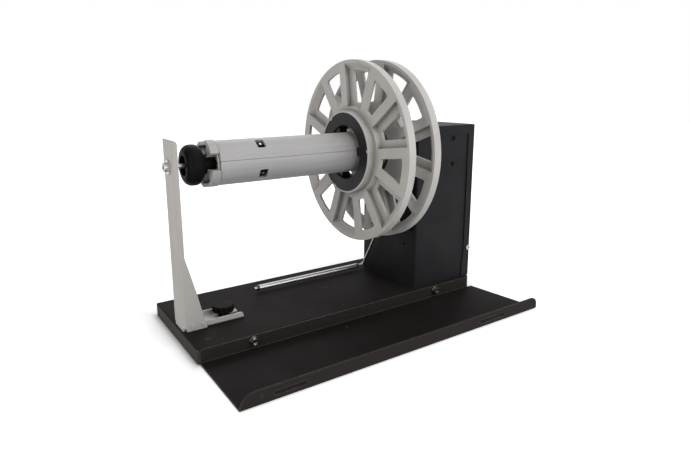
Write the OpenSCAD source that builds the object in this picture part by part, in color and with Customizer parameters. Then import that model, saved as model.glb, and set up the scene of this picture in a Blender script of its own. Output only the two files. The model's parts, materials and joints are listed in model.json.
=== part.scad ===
// Label rewinder: a motor cabinet on a sheet-metal base turns an expanding mandrel with two
// corrugated flanges. A support arm steadies the free end of the spindle.
// X runs along the spindle towards the cabinet, Y to the rear, Z up. The origin is on the
// floor, straight below the spindle, at the cabinet wall that the spindle comes out of.

/* [Sheet metal] */
// Thickness of the base, tray, chassis and support arm
sheet_t = 1.5; // [1.2:0.1:1.8]
// Thickness of the cabinet cover
cover_t = 1.2; // [0.8:0.1:1.5]
// Inside radius of the bends
bend_in = 0.5; // [0.3:0.1:1]

/* [Base] */
// Length of the base pan along the spindle
base_len = 306.5; // [300:0.5:320]
// Reach of the base pan beyond the spindle wall
base_reach = 231; // [229:0.5:236]
// Front edge of the base pan, ahead of the spindle axis
base_front = 48.4; // [46:0.2:52]
// Rear edge of the base pan, behind the spindle axis
base_rear = 67; // [60:0.5:80]
// Height of the base pan above the floor
base_h = 13; // [11:0.5:16]
// Gap between the floor and the pan's folded edges
skirt_gap = 0.6; // [0.3:0.1:1.5]
// Radius of the rubber feet
foot_r = 7; // [5:0.5:9]

/* [Alignment tray] */
// Overall depth of the tray, from the base to its front face
tray_w = 78.2; // [60:0.2:90]
// Height of the tray's front wall above the floor
tray_front_h = 12.8; // [11:0.1:16]
// Height of the tray's rear wall above the floor
tray_rear_h = 13.3; // [13:0.1:16]
// Reach of the tray beyond the spindle wall
tray_reach = 229.4; // [225:0.2:233]
// Right end of the tray's front wall, past the spindle wall
tray_right = 84; // [80:0.5:90]
// Height of the long slots in the front wall
tray_slot_h = 3.2; // [2:0.1:5]

/* [Cabinet] */
// Width of the cabinet along the spindle
cab_w = 77.2; // [76:0.2:90]
// Front face of the cabinet, ahead of the spindle axis
cab_front = 43.3; // [42:0.1:46]
// Rear face of the cabinet, behind the spindle axis
cab_rear = 44; // [42:0.1:60]
// Height of the cabinet above the base
cab_h = 163.5; // [162:0.5:175]
// Width of the cover's lips over the chassis
lip_w = 9; // [6:0.5:12]

/* [Spindle] */
// Height of the spindle axis above the floor
axis_h = 152.5; // [150:0.5:153]
// Radius of the drive shaft
shaft_r = 6; // [5.8:0.1:6.2]
// Module of the drive gears
gear_module = 1.25; // [1.2:0.01:1.28]
// Teeth of the spindle gear
spindle_teeth = 32; // [30:1:33]
// Teeth of the motor pinion
pinion_teeth = 16; // [14:1:18]

/* [Mandrel] */
// Outside radius of the mandrel
mandrel_r = 19.15; // [18.9:0.05:20]
// Wall of the mandrel jaws
jaw_wall = 2.5; // [2.2:0.1:3]
// Gap between neighbouring jaws
jaw_gap = 0.65; // [0.6:0.05:1.5]
// Reach of the jaws' free rim beyond the spindle wall
mandrel_reach = 191.5; // [188:0.5:194]
// Length of the end lugs
lug_len = 8; // [6:0.5:9]
// Outside radius of the end lugs
lug_r = 20.4; // [20:0.1:22]
// Angle that each end lug covers
lug_angle = 49; // [30:1:60]
// Length of the jaw windows
window_len = 8; // [6:0.5:10]
// Angle that each jaw window covers
window_angle = 31; // [20:1:40]
// Radius of the expansion knob
knob_r = 17.1; // [15:0.1:19]

/* [Flanges] */
// Outside radius of the flanges
flange_r = 88; // [80:0.5:88]
// Overall width of a flange's corrugated disc
flange_w = 7.4; // [6:0.1:9]
// Wall of the corrugated disc
flange_skin = 2.4; // [1.8:0.1:3]
// Width of the rim at the pockets' mouth
rim_w = 2.8; // [2:0.1:4]
// Outer radius of the windows
window_out_r = 78.5; // [72:0.5:79]
// Inner radius of the windows
window_in_r = 48; // [46:0.5:55]
// Half width of a spoke between two windows
spoke_half = 8.4; // [7:0.1:9]
// Outside radius of the hub boss
boss_r = 40; // [39.5:0.1:42]
// Outside radius of the black hub ring
ring_r = 38.3; // [37:0.1:38.5]
// Bore radius of the black hub ring
ring_bore_r = 26.2; // [25.5:0.1:28]
// Face of the outer flange, beyond the spindle wall
outer_flange_at = 50; // [48:0.5:120]
// Face of the inner flange, beyond the spindle wall
inner_flange_at = 20.7; // [20:0.1:22]

/* [Support arm] */
// Outer face of the post, beyond the spindle wall
post_at = 229.4; // [228.5:0.1:231]
// Half width of the post
post_half = 13; // [11:0.5:15]
// Height of the post's top above the floor
post_top = 174.8; // [168:0.2:180]
// Radius of the clamp knob
clamp_r = 9.7; // [8:0.1:11]

/* [Dancer] */
// Roller axis behind the spindle axis
roller_y = 36.5; // [34:0.5:40]
// Roller axis above the floor
roller_z = 17.6; // [17:0.1:22]
// Length of the roller
roller_len = 120; // [100:1:125]
// Outside radius of the roller
roller_r = 2.65; // [2.3:0.05:3]
// Distance of the arm's pivot from the roller axis
dancer_reach = 75; // [72:0.5:78]

/* [Hidden] */
$fn = 72;

// Overrun of every cut past the surface that it goes through
over = 1;
// Running clearance of turning and sliding fits
fit = 0.05;
// Clearance of screws in their holes, and of pieces that only lie side by side
loose = 0.2;
// Clearance where one piece travels past another
pass = 0.3;

// Screws: shank radius, head radius and head height
m3_r = 1.5;
m3_tap_r = 1.2;
m3_head_r = 2.75;
m3_head_h = 2;
low_head_h = 1.3;
m4_r = 2;
m4_head_r = 3.5;
m4_head_h = 3;
socket_share = 0.5;
sink_h = 1.3;
sink_socket_share = 0.7;

// Places in the base pan
pan_inner = bend_in + sheet_t;
base_corner_r = 6;
base_x0 = -base_reach;
base_y0 = -base_front;
base_w = base_front + base_rear;
base_hole_r = 1;
base_hole_out = 84;
base_hole_in = 11;
base_slot_len = 8.3;
base_slot_w = 1.2;
base_slot_out = 79.4;
base_slot_y = 11.6;
foot_inset = 14;
foot_top = base_h - sheet_t;
foot_taper = 1;
foot_bore_depth = 3;
foot_recess = 3.5;

// Tray
tray_left_r = 11;
tray_right_r = 7;
tray_rear_r = 3;
tray_right_rear = 76;
tray_rear_len = 299.6;
tray_slot_z = 6.4;
tray_slot_a_out = 203.2;
tray_slot_a_len = 26.8;
tray_slot_b_in = 4.3;
tray_slot_b_len = 32.5;
tray_hole_out = 213;
tray_hole_z = 8;
tray_floor_hole_out = 95.6;
tray_floor_hole_in = 10.4;
tray_screw_xs = [-183, 22.2];
tray_screw_z = 8.3;
washer_r = 4.5;
washer_t = 0.9;
nut_r = 2.65;
nut_shank_r = 2.4;
nut_t = 2.4;

// Cabinet
cab_top = base_h + cab_h;
chassis_right = cab_w - cover_t;
chassis_top = cab_top - cover_t;
cab_corner_r = bend_in + sheet_t;
chassis_lip = 11;
chassis_lip_hole_in = 6;
chassis_screw_xs = [9.5, 47.5];
lip_step = 2;
lip_step_z = 12;
lip_step_rise = 15;
lip_screw_z = 44.7;
lip_screw_in = 3.4;
lip_screw_x = cab_w - lip_screw_in;
front_screw_x = 47.5;
front_screw_drop = 13.1;
front_screw_pitch = 25.9;
wall_hole_r = 1.6;
wall_holes = [[-37.4, 74], [-25.9, 56.1]];
wall_bore_r = 9;

// Bearing housing, bearings and gears
housing_half = 21;
housing_corner = 5;
housing_plate = 4;
housing_len = 26;
housing_r = 17.5;
housing_screw_off = 15.5;
bearing_r = 14;
bearing_w = 8;
bearing_lip = 2;
bearing_race = 2.2;
bearing_dish = 0.5;
gear_w = 7;
gear_gap = 2;
gear_hub_r = 10;
gear_hub = 1.6;
tip_share = 0.95;
root_share = 1.25;
pressure_angle = 20;
backlash = 0.16;
flank_steps = 4;
gear_at = sheet_t + housing_len + gear_gap;
gear_pitch = gear_module * (spindle_teeth + pinion_teeth) / 2;
motor_z = axis_h - gear_pitch;

// Motor and its bracket
bracket_t = 2;
bracket_gap = 2.5;
bracket_at = gear_at + gear_w + bracket_gap;
bracket_half = 24;
bracket_tab = 17;
bracket_up = 17.5;
motor_half = 21.1;
motor_corner = 4;
motor_len = 33.5;
motor_cap = 8;
motor_groove = 0.6;
motor_pilot_r = 11;
motor_screw_depth = 2.6;
motor_screw_off = 15.5;
motor_shaft_r = 2.5;
motor_shaft_in = 20;
motor_shaft_end = 19.5;
motor_shaft_out = 1;
motor_at = bracket_at + bracket_t;
shaft_end = bracket_at - bracket_t / 2;

// Mandrel
jaw_in_r = mandrel_r - jaw_wall;
jaw_centre = 35;
jaw_angles = [for (k = [0:3]) jaw_centre + 90 * k];
thread_pitch = 1.5;
cone_slope = 0.4;
knob_turns_share = 0.5;
jaw_travel = cone_slope * thread_pitch * knob_turns_share;
collar_disc_t = 3;
collar_disc_r = 36;
collar_gap = 2.7;
collar_disc_at = -collar_gap - collar_disc_t;
collar_r = jaw_in_r - jaw_travel - pass;
collar_len = 7.3;
collar_groove_in = 2.3;
collar_groove_w = 2.5;
collar_groove_r = 12;
jaw_end_gap = 0.8;
jaw_right = collar_disc_at - jaw_end_gap;
jaw_lip_r = collar_groove_r + jaw_travel + loose;
jaw_lip_slack = 0.2;
jaw_lip_w = collar_groove_w - 2 * jaw_lip_slack;
jaw_lip_at = collar_disc_at - collar_groove_in - collar_groove_w + jaw_lip_slack - jaw_right;
rim_flat = 1.2;
flare_len = 3.6;
relief_r = 0.9;
relief_drop = 0.5;
window_r = 1.2;
end_wall = 4;
rim_bore_r = 17.3;
ring_tube = 0.8;
ring_room = ring_tube + jaw_travel + fit;
return_ring_r = 16.3;
ring_groove_w = 2;
lug_in_r = 8.7;
window_a_in = 35.5;
window_b_out = 29.5;
cone_len = 12;
cone_r = 14.2;
cone_places = [-178, -72];
ramp_inset = 1;
guide_r = 13.5;
guide_w = 5;
guide_pin_r = 1.3;
guide_pin_out = 1;
neck_r = 8.3;
neck_end = 15;
thread_depth = 0.4;
knob_len = 15;
knob_edge = 6.3;
knob_gap = 3;
knob_web = 4;
knob_recess_r = 8.6;
knob_recess = 4.7;
clip_t = 1;
clip_r = 8;
shaft_tip_r = 2.06;
shaft_tip_depth = 5;

// Flanges
window_count = 12;
window_pitch = 360 / window_count;
flange_shift = 8;
inner_turn = 46.5;
pocket_in_r = 43;
pocket_slope = 2;
rim_drop = 5.2;
riser_t = 2;
window_corner = 1.5;
boss_h = 7.4;
ring_pocket = 12.4;
web_bore_r = 24.8;
ring_sink = 0.4;
nib_r = 36.9;
nib_angle = 4;
nib_angles = [84, 204, 324];
shoe_angle = 22;
shoe_len = 8;
shoe_gap = 0.15;
shoe_r = mandrel_r + jaw_travel + shoe_gap;
hub_screw_r = 32;

// Support arm
post_x = -post_at;
post_flange = 4.2;
post_flange_low = 20.4;
post_flare_top = 78;
post_flare_mid = 48.5;
post_flare_mid_w = 12;
post_corner_r = 4;
post_notch = 3;
foot_len = 53;
foot_lip_h = 4;
foot_lip_r = 3;
foot_slot_half = 3.3;
foot_slot_out = 192.5;
rivet_r = 1.2;
rivet_head_r = 2.1;
rivet_tail_r = 1.7;
rivet_head = 0.9;
rivet_xs = [-221, -212];
rivet_up = 3.9;
stud_out = 189;
stud_r = 3;
stud_flange_r = 6;
stud_flange = 1;
clamp_stem_r = 5;
clamp_stem = 4.5;
clamp_h = 6;
clamp_edge = 1.5;
clamp_flutes = 10;
clamp_flute_r = 2;
pin_r = 2;
pin_head_r = 3.9;
pin_head = 3;
pin_lap = 0.8;
pin_socket_r = 2;
pin_washer_r = 6;
pin_washer_t = 1.1;
pin_tip_x = -210.5;

// Dancer
dancer_slope = 60;
pivot_y = roller_y - dancer_reach * cos(dancer_slope);
pivot_z = roller_z + dancer_reach * sin(dancer_slope);
dancer_x = -6.2;
dancer_rod_r = 1.4;
dancer_bend = 5;
rod_lap = 0.2;
bend_grow = 0.05;
roller_right = -16;
axle_end = 5;
axle_left = roller_right - roller_len - axle_end;
dancer_hub_r = 6;
dancer_hub_left = -8.4;
dancer_hub_right = -3.4;
dancer_shaft_r = 3;
bush_flange_r = 7.5;
bush_flange = 3;
bush_r = 5;
bush_len = 13;
nut_flat_r = 8;
nut_w = 4;
lever_at = 16;
lever_t = 3;
lever_len = 16;
lever_r = 5;
lever_tip_r = 3.5;
spring_r = 7.6;
spring_wire = 0.9;
spring_turns = 4;
sensor_at = 21;
sensor_w = 8;
sensor_half = 11;
sensor_post_off = 7.7;
clip_collar_r = 2.6;
clip_collar_w = 2;

// Controls and board
board_t = 1.6;
board_x0 = 9;
board_len = 58;
board_z0 = 61;
board_w = 34;
board_inset = 4;
can_r = 4;
can_h = 8;
chip_size = [16, 1.6, 8];
plug_size = [20, 6, 5];
standoff_r = 2.5;
standoff_h = 6;
rocker_x = 22;
rocker_z = 46;
rocker_half_w = 6.5;
rocker_half_h = 9.7;
rocker_frame = 1.6;
rocker_depth = 13;
rocker_wall = 1.2;
rocker_dish_r = 10.9;
rocker_dish_out = 13.5;
rocker_back = 4.3;
dial_x = 52;
dial_z = 46;
dial_r = 9;
dial_h = 11;
dial_flutes = 18;
dial_gap = 1.5;
dial_skirt = 1.5;
dial_flute_r = 0.7;
pot_r = 8;
pot_len = 8;
pot_shaft_r = 3;
pot_thread_r = 3.5;
pot_thread_out = 1.2;
inlet_x = 37;
inlet_z = 26;
inlet_r = 5.5;
inlet_flange_r = 7;
inlet_flange = 2;
inlet_bore_r = 3;
inlet_depth = 12;
inlet_pin_r = 1;

rear_wall = cab_rear - sheet_t;

// Helpers

// Turns a drawing in Y and Z into a plate that starts at x
module plate_x(x, t) {
  translate([x, 0, 0]) rotate([90, 0, 90]) linear_extrude(t) children();
}

// Turns a drawing in X and Z into a plate that starts at y
module plate_y(y, t) {
  translate([0, y + t, 0]) rotate([90, 0, 0]) linear_extrude(t) children();
}

// Lays a piece that was drawn along Z on the spindle axis
module on_spindle(x = 0) {
  translate([x, 0, axis_h]) rotate([0, 90, 0]) children();
}

// Turns a piece on the spindle to an angle from the top towards the front
module at_angle(a) {
  rotate([0, 0, a + 180]) children();
}

// A rod along X
module rod_x(x, len, r, y = 0, z = 0) {
  translate([x, y, z]) rotate([0, 90, 0]) cylinder(h = len, r = r);
}

// A rod along Y
module rod_y(y, len, r, x = 0, z = 0) {
  translate([x, y, z]) rotate([-90, 0, 0]) cylinder(h = len, r = r);
}

// What rounding takes off a corner at the origin
module corner_off(r) {
  difference() {
    translate([-over, -over]) square(r + over);
    translate([r, r]) circle(r);
  }
}

// Rectangle from the origin; radii run low left, low right, high right, high left
module round_rect(w, h, radii) {
  difference() {
    square([w, h]);
    if (radii[0] > 0) corner_off(radii[0]);
    if (radii[1] > 0) translate([w, 0]) rotate(90) corner_off(radii[1]);
    if (radii[2] > 0) translate([w, h]) rotate(180) corner_off(radii[2]);
    if (radii[3] > 0) translate([0, h]) rotate(270) corner_off(radii[3]);
  }
}

// Slot with round ends, from its left end
module slot(len, w) {
  translate([w / 2, 0]) circle(w / 2);
  translate([len - w / 2, 0]) circle(w / 2);
  translate([w / 2, -w / 2]) square([len - w, w]);
}

// Screw along Z whose head sits on z = 0
module cap_screw(r, head_r, head_h, len) {
  difference() {
    cylinder(h = head_h, r = head_r);
    translate([0, 0, head_h * socket_share]) cylinder(h = head_h, r = r, $fn = 6);
  }
  translate([0, 0, -len]) cylinder(h = len + head_h * socket_share / 2, r = r);
}

// Countersunk screw along Z whose head lies just under z = 0
module sunk_screw(r, head_r, len) {
  difference() {
    union() {
      translate([0, 0, -sink_h]) cylinder(h = sink_h, r1 = r, r2 = head_r);
      translate([0, 0, -len]) cylinder(h = len - sink_h / 2, r = r);
    }
    translate([0, 0, -sink_h * socket_share]) cylinder(h = sink_h, r = r * sink_socket_share, $fn = 6);
  }
}

// Hole for a countersunk screw, from z = 0 down
module sunk_hole(r, head_r, len) {
  translate([0, 0, -sink_h - loose]) cylinder(h = sink_h + loose, r1 = r + loose, r2 = head_r + loose);
  translate([0, 0, -len]) cylinder(h = len, r = r + loose);
  cylinder(h = over, r = head_r + loose);
}

// Ring along Z
module ring(out_r, in_r, h) {
  difference() {
    cylinder(h = h, r = out_r);
    translate([0, 0, -over]) cylinder(h = h + 2 * over, r = in_r);
  }
}

// Flat wedge that covers an angle about the X axis of the drawing
module wedge(angle, r) {
  polygon([[0, 0], [r * cos(angle / 2), -r * sin(angle / 2)], [r / cos(angle / 2), 0],
           [r * cos(angle / 2), r * sin(angle / 2)]]);
}

// Base

module pan_outline(w, h, r) {
  round_rect(w, h, [0, 0, r, r]);
}

// Outside of the pan, grown inwards by t
module pan_form(t, low) {
  r = max(pan_inner - t, bend_in);
  intersection() {
    plate_x(base_x0 + t, base_len - 2 * t)
      translate([base_y0 + t, low]) pan_outline(base_w - 2 * t, base_h - t - low, r);
    plate_y(base_y0 + t, base_w - 2 * t)
      translate([base_x0 + t, low]) pan_outline(base_len - 2 * t, base_h - t - low, r);
    translate([base_x0 + t, base_y0 + t, low]) linear_extrude(base_h)
      round_rect(base_len - 2 * t, base_w - 2 * t, [r, base_corner_r - t, base_corner_r - t, r]);
  }
}

function foot_places() = [
  for (x = [base_x0 + foot_inset, base_x0 + base_len - foot_inset])
    for (y = [base_y0 + foot_inset, base_rear - foot_inset]) [x, y]];

function chassis_screw_places() = [
  for (x = chassis_screw_xs)
    for (y = [-cab_front + chassis_lip_hole_in, cab_rear - chassis_lip_hole_in]) [x, y]];

module base_pan() color([0.17, 0.15, 0.15]) difference() {
  pan_form(0, skirt_gap);
  pan_form(sheet_t, skirt_gap - over);
  translate([-base_hole_out, base_y0 + base_hole_in, 0]) cylinder(h = base_h + over, r = base_hole_r);
  translate([-base_slot_out, base_slot_y, 0]) linear_extrude(base_h + over) slot(base_slot_len, base_slot_w);
  for (p = chassis_screw_places())
    translate([p[0], p[1], 0]) cylinder(h = base_h + over, r = m3_r + loose);
  for (p = foot_places())
    translate([p[0], p[1], 0]) cylinder(h = base_h + over, r = m3_r + fit);
  translate([-stud_out, 0, 0]) cylinder(h = base_h + over, r = stud_r + fit);
  for (x = tray_screw_xs) rod_y(base_y0 - over, sheet_t + 2 * over, nut_shank_r, x, tray_screw_z);
}

module foot_form() {
  cylinder(h = foot_top, r1 = foot_r - foot_taper, r2 = foot_r);
}

// Four feet are screwed on, and a plain one is glued under the middle, below the spindle
module rubber_feet() color([0.08, 0.08, 0.08]) {
  foot_form();
  for (p = foot_places()) translate([p[0], p[1], 0]) difference() {
    foot_form();
    translate([0, 0, -over]) cylinder(h = foot_bore_depth + over, r = foot_recess);
    cylinder(h = foot_top + over, r = m3_r + loose);
  }
}

// The screws come up through the feet into the pan
module feet_screws() color([0.6, 0.6, 0.62]) for (p = foot_places())
  translate([p[0], p[1], foot_bore_depth]) mirror([0, 0, 1])
    cap_screw(m3_r, m3_head_r, m3_head_h, base_h - foot_bore_depth);

// Tray

module tray_profile() {
  h = tray_rear_h + over;
  difference() {
    round_rect(tray_w, h, [pan_inner, pan_inner, 0, 0]);
    translate([sheet_t, sheet_t]) round_rect(tray_w - 2 * sheet_t, h, [bend_in, bend_in, 0, 0]);
  }
}

module tray_plan() {
  y0 = base_y0 - tray_w;
  polygon([[-tray_reach, y0 - over], [tray_right, y0 - over], [tray_right, y0 + pan_inner],
           [tray_right_rear, base_y0 - pan_inner], [-tray_reach + tray_rear_len, base_y0 - pan_inner],
           [-tray_reach + tray_rear_len, base_y0 + over], [-tray_reach, base_y0 + over]]);
}

module alignment_tray() color([0.19, 0.17, 0.17]) {
  y0 = base_y0 - tray_w;
  full = tray_reach + tray_right;
  difference() {
    intersection() {
      plate_x(-tray_reach, full) translate([y0, skirt_gap]) tray_profile();
      linear_extrude(tray_rear_h + over) tray_plan();
      union() {
        plate_y(y0 - over, tray_w / 2)
          translate([-tray_reach, 0]) round_rect(full, tray_front_h, [0, 0, tray_right_r, tray_left_r]);
        plate_y(y0 + tray_w / 2 - over, tray_w / 2 + 2 * over)
          translate([-tray_reach, 0]) union() {
            round_rect(tray_rear_len, tray_rear_h, [0, 0, tray_rear_r, tray_rear_r]);
            square([full, tray_rear_h / 2]);
          }
      }
    }
    plate_y(y0 - over, pan_inner + over) {
      translate([-tray_slot_a_out, tray_slot_z]) slot(tray_slot_a_len, tray_slot_h);
      translate([tray_slot_b_in, tray_slot_z]) slot(tray_slot_b_len, tray_slot_h);
    }
    rod_y(y0 - over, pan_inner + over, base_hole_r, -tray_hole_out, tray_hole_z);
    translate([-tray_floor_hole_out, base_y0 - sheet_t - tray_floor_hole_in, 0])
      cylinder(h = tray_rear_h, r = base_hole_r);
    for (x = tray_screw_xs) rod_y(base_y0 - pan_inner, pan_inner + over, m4_r + loose, x, tray_screw_z);
  }
}

module tray_washers() color([0.75, 0.75, 0.76]) for (x = tray_screw_xs)
  translate([x, base_y0 - sheet_t, tray_screw_z]) rotate([90, 0, 0])
    ring(washer_r, m4_r + loose / 2, washer_t);

module tray_screws() color([0.3, 0.3, 0.3]) for (x = tray_screw_xs)
  translate([x, base_y0 - sheet_t - washer_t, tray_screw_z]) rotate([90, 0, 0])
    cap_screw(m4_r, m4_head_r, m4_head_h, washer_t + 2 * sheet_t + nut_t);

module tray_press_nuts() color([0.7, 0.7, 0.68]) for (x = tray_screw_xs)
  translate([x, base_y0 + sheet_t, tray_screw_z]) rotate([-90, 0, 0]) difference() {
    union() {
      cylinder(h = nut_t, r = nut_r);
      translate([0, 0, -sheet_t]) cylinder(h = sheet_t + nut_t / 2, r = nut_shank_r - fit);
    }
    translate([0, 0, -sheet_t - over]) cylinder(h = nut_t + sheet_t + 2 * over, r = m4_r + fit);
  }

// Cabinet

module chassis_form(t) {
  low = base_h + (t > 0 ? sheet_t : 0);
  translate([t, -cab_front + t, low]) linear_extrude(chassis_top - low + (t > 0 ? over : 0))
    round_rect(chassis_right - t + (t > 0 ? over : 0), cab_front + cab_rear - 2 * t,
               [cab_corner_r - t, 0, 0, cab_corner_r - t]);
}

module chassis_floor_cut() {
  translate([chassis_lip, -cab_front + chassis_lip, base_h - over])
    cube([cab_w, cab_front + cab_rear - 2 * chassis_lip, sheet_t + 2 * over]);
}

module front_screw_places() {
  for (drop = [front_screw_drop, front_screw_drop + front_screw_pitch])
    translate([front_screw_x, 0, cab_top - drop]) children();
}

module cabinet_chassis() color([0.16, 0.16, 0.17]) difference() {
  chassis_form(0);
  chassis_form(sheet_t);
  chassis_floor_cut();
  for (p = chassis_screw_places())
    translate([p[0], p[1], base_h - over]) cylinder(h = sheet_t + 2 * over, r = m3_r + fit);
  rod_x(-over, sheet_t + 2 * over, wall_bore_r, 0, axis_h);
  for (p = wall_holes) rod_x(-over, sheet_t + 2 * over, wall_hole_r, p[0], p[1]);
  for (s = [-1, 1]) for (u = [-1, 1])
    translate([0, s * housing_screw_off, axis_h + u * housing_screw_off]) rotate([0, -90, 0])
      sunk_hole(m3_r, m3_head_r, sheet_t + over);
  rod_x(-over, sheet_t + 2 * over, bush_r + loose, pivot_y, pivot_z);
  front_screw_places() {
    translate([0, -cab_front, 0]) rotate([90, 0, 0]) sunk_hole(m3_r, m3_head_r, sheet_t + over);
    translate([0, cab_rear, 0]) rotate([-90, 0, 0]) sunk_hole(m3_r, m3_head_r, sheet_t + over);
  }
  for (y = [-cab_front - over, rear_wall - over])
    rod_y(y, sheet_t + 2 * over, m3_r + fit, lip_screw_x, lip_screw_z);
  translate([rocker_x - rocker_half_w, rear_wall - over, rocker_z - rocker_half_h])
    cube([2 * rocker_half_w, sheet_t + 2 * over, 2 * rocker_half_h]);
  rod_y(rear_wall - over, sheet_t + 2 * over, pot_thread_r + loose, dial_x, dial_z);
  rod_y(rear_wall - over, sheet_t + 2 * over, inlet_r + fit, inlet_x, inlet_z);
  for (p = standoff_places()) rod_y(rear_wall - over, sheet_t + 2 * over, m3_tap_r, p[0], p[1]);
}

// Opening between the cover's lips at the front and the rear, wider above a sloped step
module cover_opening() {
  inner = cab_w - lip_w;
  step_z = base_h + lip_step_z;
  polygon([[-over, base_h - over], [inner - lip_step, base_h - over], [inner - lip_step, step_z],
           [inner, step_z + lip_step_rise], [inner, cab_top - lip_w], [-over, cab_top - lip_w]]);
}

module cover_side_outline() {
  w = cab_front + cab_rear + 2 * cover_t;
  translate([-cab_front - cover_t, base_h])
    round_rect(w, cab_h, [0, 0, bend_in + cover_t, bend_in + cover_t]);
}

module cabinet_cover() color([0.2, 0.2, 0.21]) difference() {
  intersection() {
    plate_x(0, cab_w) cover_side_outline();
    translate([0, -cab_front - cover_t, base_h]) linear_extrude(cab_h)
      round_rect(cab_w, cab_front + cab_rear + 2 * cover_t, [0, bend_in + cover_t, bend_in + cover_t, 0]);
    plate_y(-cab_front - 2 * cover_t, cab_front + cab_rear + 4 * cover_t)
      translate([0, base_h]) round_rect(cab_w, cab_h, [0, 0, bend_in + cover_t, 0]);
  }
  translate([-over, -cab_front, base_h - over])
    cube([chassis_right + over, cab_front + cab_rear, chassis_top - base_h + over]);
  plate_y(-cab_front - cover_t - over, cab_front + cab_rear + 2 * (cover_t + over)) cover_opening();
  for (y = [-cab_front - cover_t - over, cab_rear - over])
    rod_y(y, cover_t + 2 * over, m3_r + loose, lip_screw_x, lip_screw_z);
}

module chassis_screws() color([0.6, 0.6, 0.62]) for (p = chassis_screw_places())
  translate([p[0], p[1], base_h - sheet_t]) mirror([0, 0, 1])
    cap_screw(m3_r, m3_head_r, m3_head_h, 3 * sheet_t);

module cover_screws() color([0.8, 0.8, 0.8]) for (s = [-1, 1])
  translate([lip_screw_x, s > 0 ? cab_rear + cover_t : -cab_front - cover_t, lip_screw_z])
    rotate([-90 * s, 0, 0]) cap_screw(m3_r, m3_head_r, low_head_h, cover_t + 2 * sheet_t);

module bracket_screws() color([0.1, 0.1, 0.1]) {
  front_screw_places() translate([0, -cab_front, 0]) rotate([90, 0, 0])
    sunk_screw(m3_r, m3_head_r, sheet_t + 2 * bracket_t);
  front_screw_places() translate([0, cab_rear, 0]) rotate([-90, 0, 0])
    sunk_screw(m3_r, m3_head_r, sheet_t + 2 * bracket_t);
}

// Spindle bearing

module bearing_housing() color([0.66, 0.67, 0.68]) difference() {
  union() {
    plate_x(sheet_t, housing_plate) translate([-housing_half, axis_h - housing_half])
      round_rect(2 * housing_half, 2 * housing_half, [for (k = [0:3]) housing_corner]);
    rod_x(sheet_t, housing_len, housing_r, 0, axis_h);
  }
  rod_x(sheet_t - over, housing_len + 2 * over, bearing_r - bearing_lip, 0, axis_h);
  rod_x(sheet_t - over, bearing_w + over + loose, bearing_r + fit, 0, axis_h);
  rod_x(sheet_t + housing_len - bearing_w - loose, bearing_w + over + loose, bearing_r + fit, 0, axis_h);
  for (s = [-1, 1]) for (u = [-1, 1])
    translate([0, s * housing_screw_off, axis_h + u * housing_screw_off])
      rod_x(0, sheet_t + housing_plate + over, m3_r + fit);
}

module housing_screws() color([0.12, 0.12, 0.12]) for (s = [-1, 1]) for (u = [-1, 1])
  translate([0, s * housing_screw_off, axis_h + u * housing_screw_off]) rotate([0, -90, 0])
    sunk_screw(m3_r, m3_head_r, sheet_t + housing_plate);

module bearing_body() {
  difference() {
    ring(bearing_r, shaft_r + fit / 2, bearing_w);
    for (z = [-over, bearing_w - bearing_dish])
      translate([0, 0, z]) ring(bearing_r - bearing_race, shaft_r + bearing_race, bearing_dish + over);
  }
}

module spindle_bearings() color([0.8, 0.8, 0.82]) {
  on_spindle(sheet_t + fit) bearing_body();
  on_spindle(sheet_t + housing_len - bearing_w - fit) bearing_body();
}

// Motor

module motor_screw_places(x) {
  for (s = [-1, 1]) for (u = [-1, 1])
    translate([x, s * motor_screw_off, motor_z + u * motor_screw_off]) rotate([0, 90, 0]) children();
}

module motor_bracket() color([0.7, 0.7, 0.72]) difference() {
  low = motor_z - bracket_half;
  high = cab_top - front_screw_drop + m4_head_r * 2;
  inner = -cab_front + sheet_t;
  union() {
    plate_x(bracket_at, bracket_t)
      translate([inner, low]) square([cab_front + cab_rear - 2 * sheet_t, motor_z + bracket_up - low]);
    for (y = [inner, rear_wall - bracket_t])
      translate([bracket_at, y, low]) cube([bracket_tab, bracket_t, high - low]);
  }
  rod_x(bracket_at - over, bracket_t + 2 * over, motor_pilot_r + loose, 0, motor_z);
  motor_screw_places(bracket_at - over) cylinder(h = bracket_t + 2 * over, r = m3_r + loose);
  front_screw_places() rod_y(inner - over, bracket_t + 2 * over, m3_r + fit);
  front_screw_places() rod_y(rear_wall - bracket_t - over, bracket_t + 2 * over, m3_r + fit);
}

module drive_motor() color([0.25, 0.25, 0.26]) difference() {
  union() {
    for (k = [0, 1, 2]) {
      x = [motor_at, motor_at + motor_cap, motor_at + motor_len - motor_cap][k];
      len = [motor_cap, motor_len - 2 * motor_cap, motor_cap][k];
      inset = k == 1 ? motor_groove : 0;
      plate_x(x, len) translate([-motor_half + inset, motor_z - motor_half + inset])
        round_rect(2 * (motor_half - inset), 2 * (motor_half - inset), [for (j = [0:3]) motor_corner]);
    }
    rod_x(bracket_at, bracket_t + over, motor_pilot_r, 0, motor_z);
  }
  rod_x(bracket_at - over, motor_shaft_in + bracket_t + over, motor_shaft_r + fit, 0, motor_z);
  motor_screw_places(motor_at - over) cylinder(h = motor_cap / 2 + over, r = m3_r + fit);
}

module motor_screws() color([0.6, 0.6, 0.62]) motor_screw_places(bracket_at) mirror([0, 0, 1])
  cap_screw(m3_r, m3_head_r, m3_head_h, bracket_t + motor_screw_depth);

module motor_shaft() color([0.75, 0.75, 0.77])
  rod_x(gear_at - motor_shaft_out, motor_at - gear_at + motor_shaft_end + motor_shaft_out,
        motor_shaft_r, 0, motor_z);

// Gears with involute flanks

function inv(a) = tan(a) * 180 / PI - a;
function flank_angle(r, base_r, half) = half - inv(acos(min(base_r / r, 1)));

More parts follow.
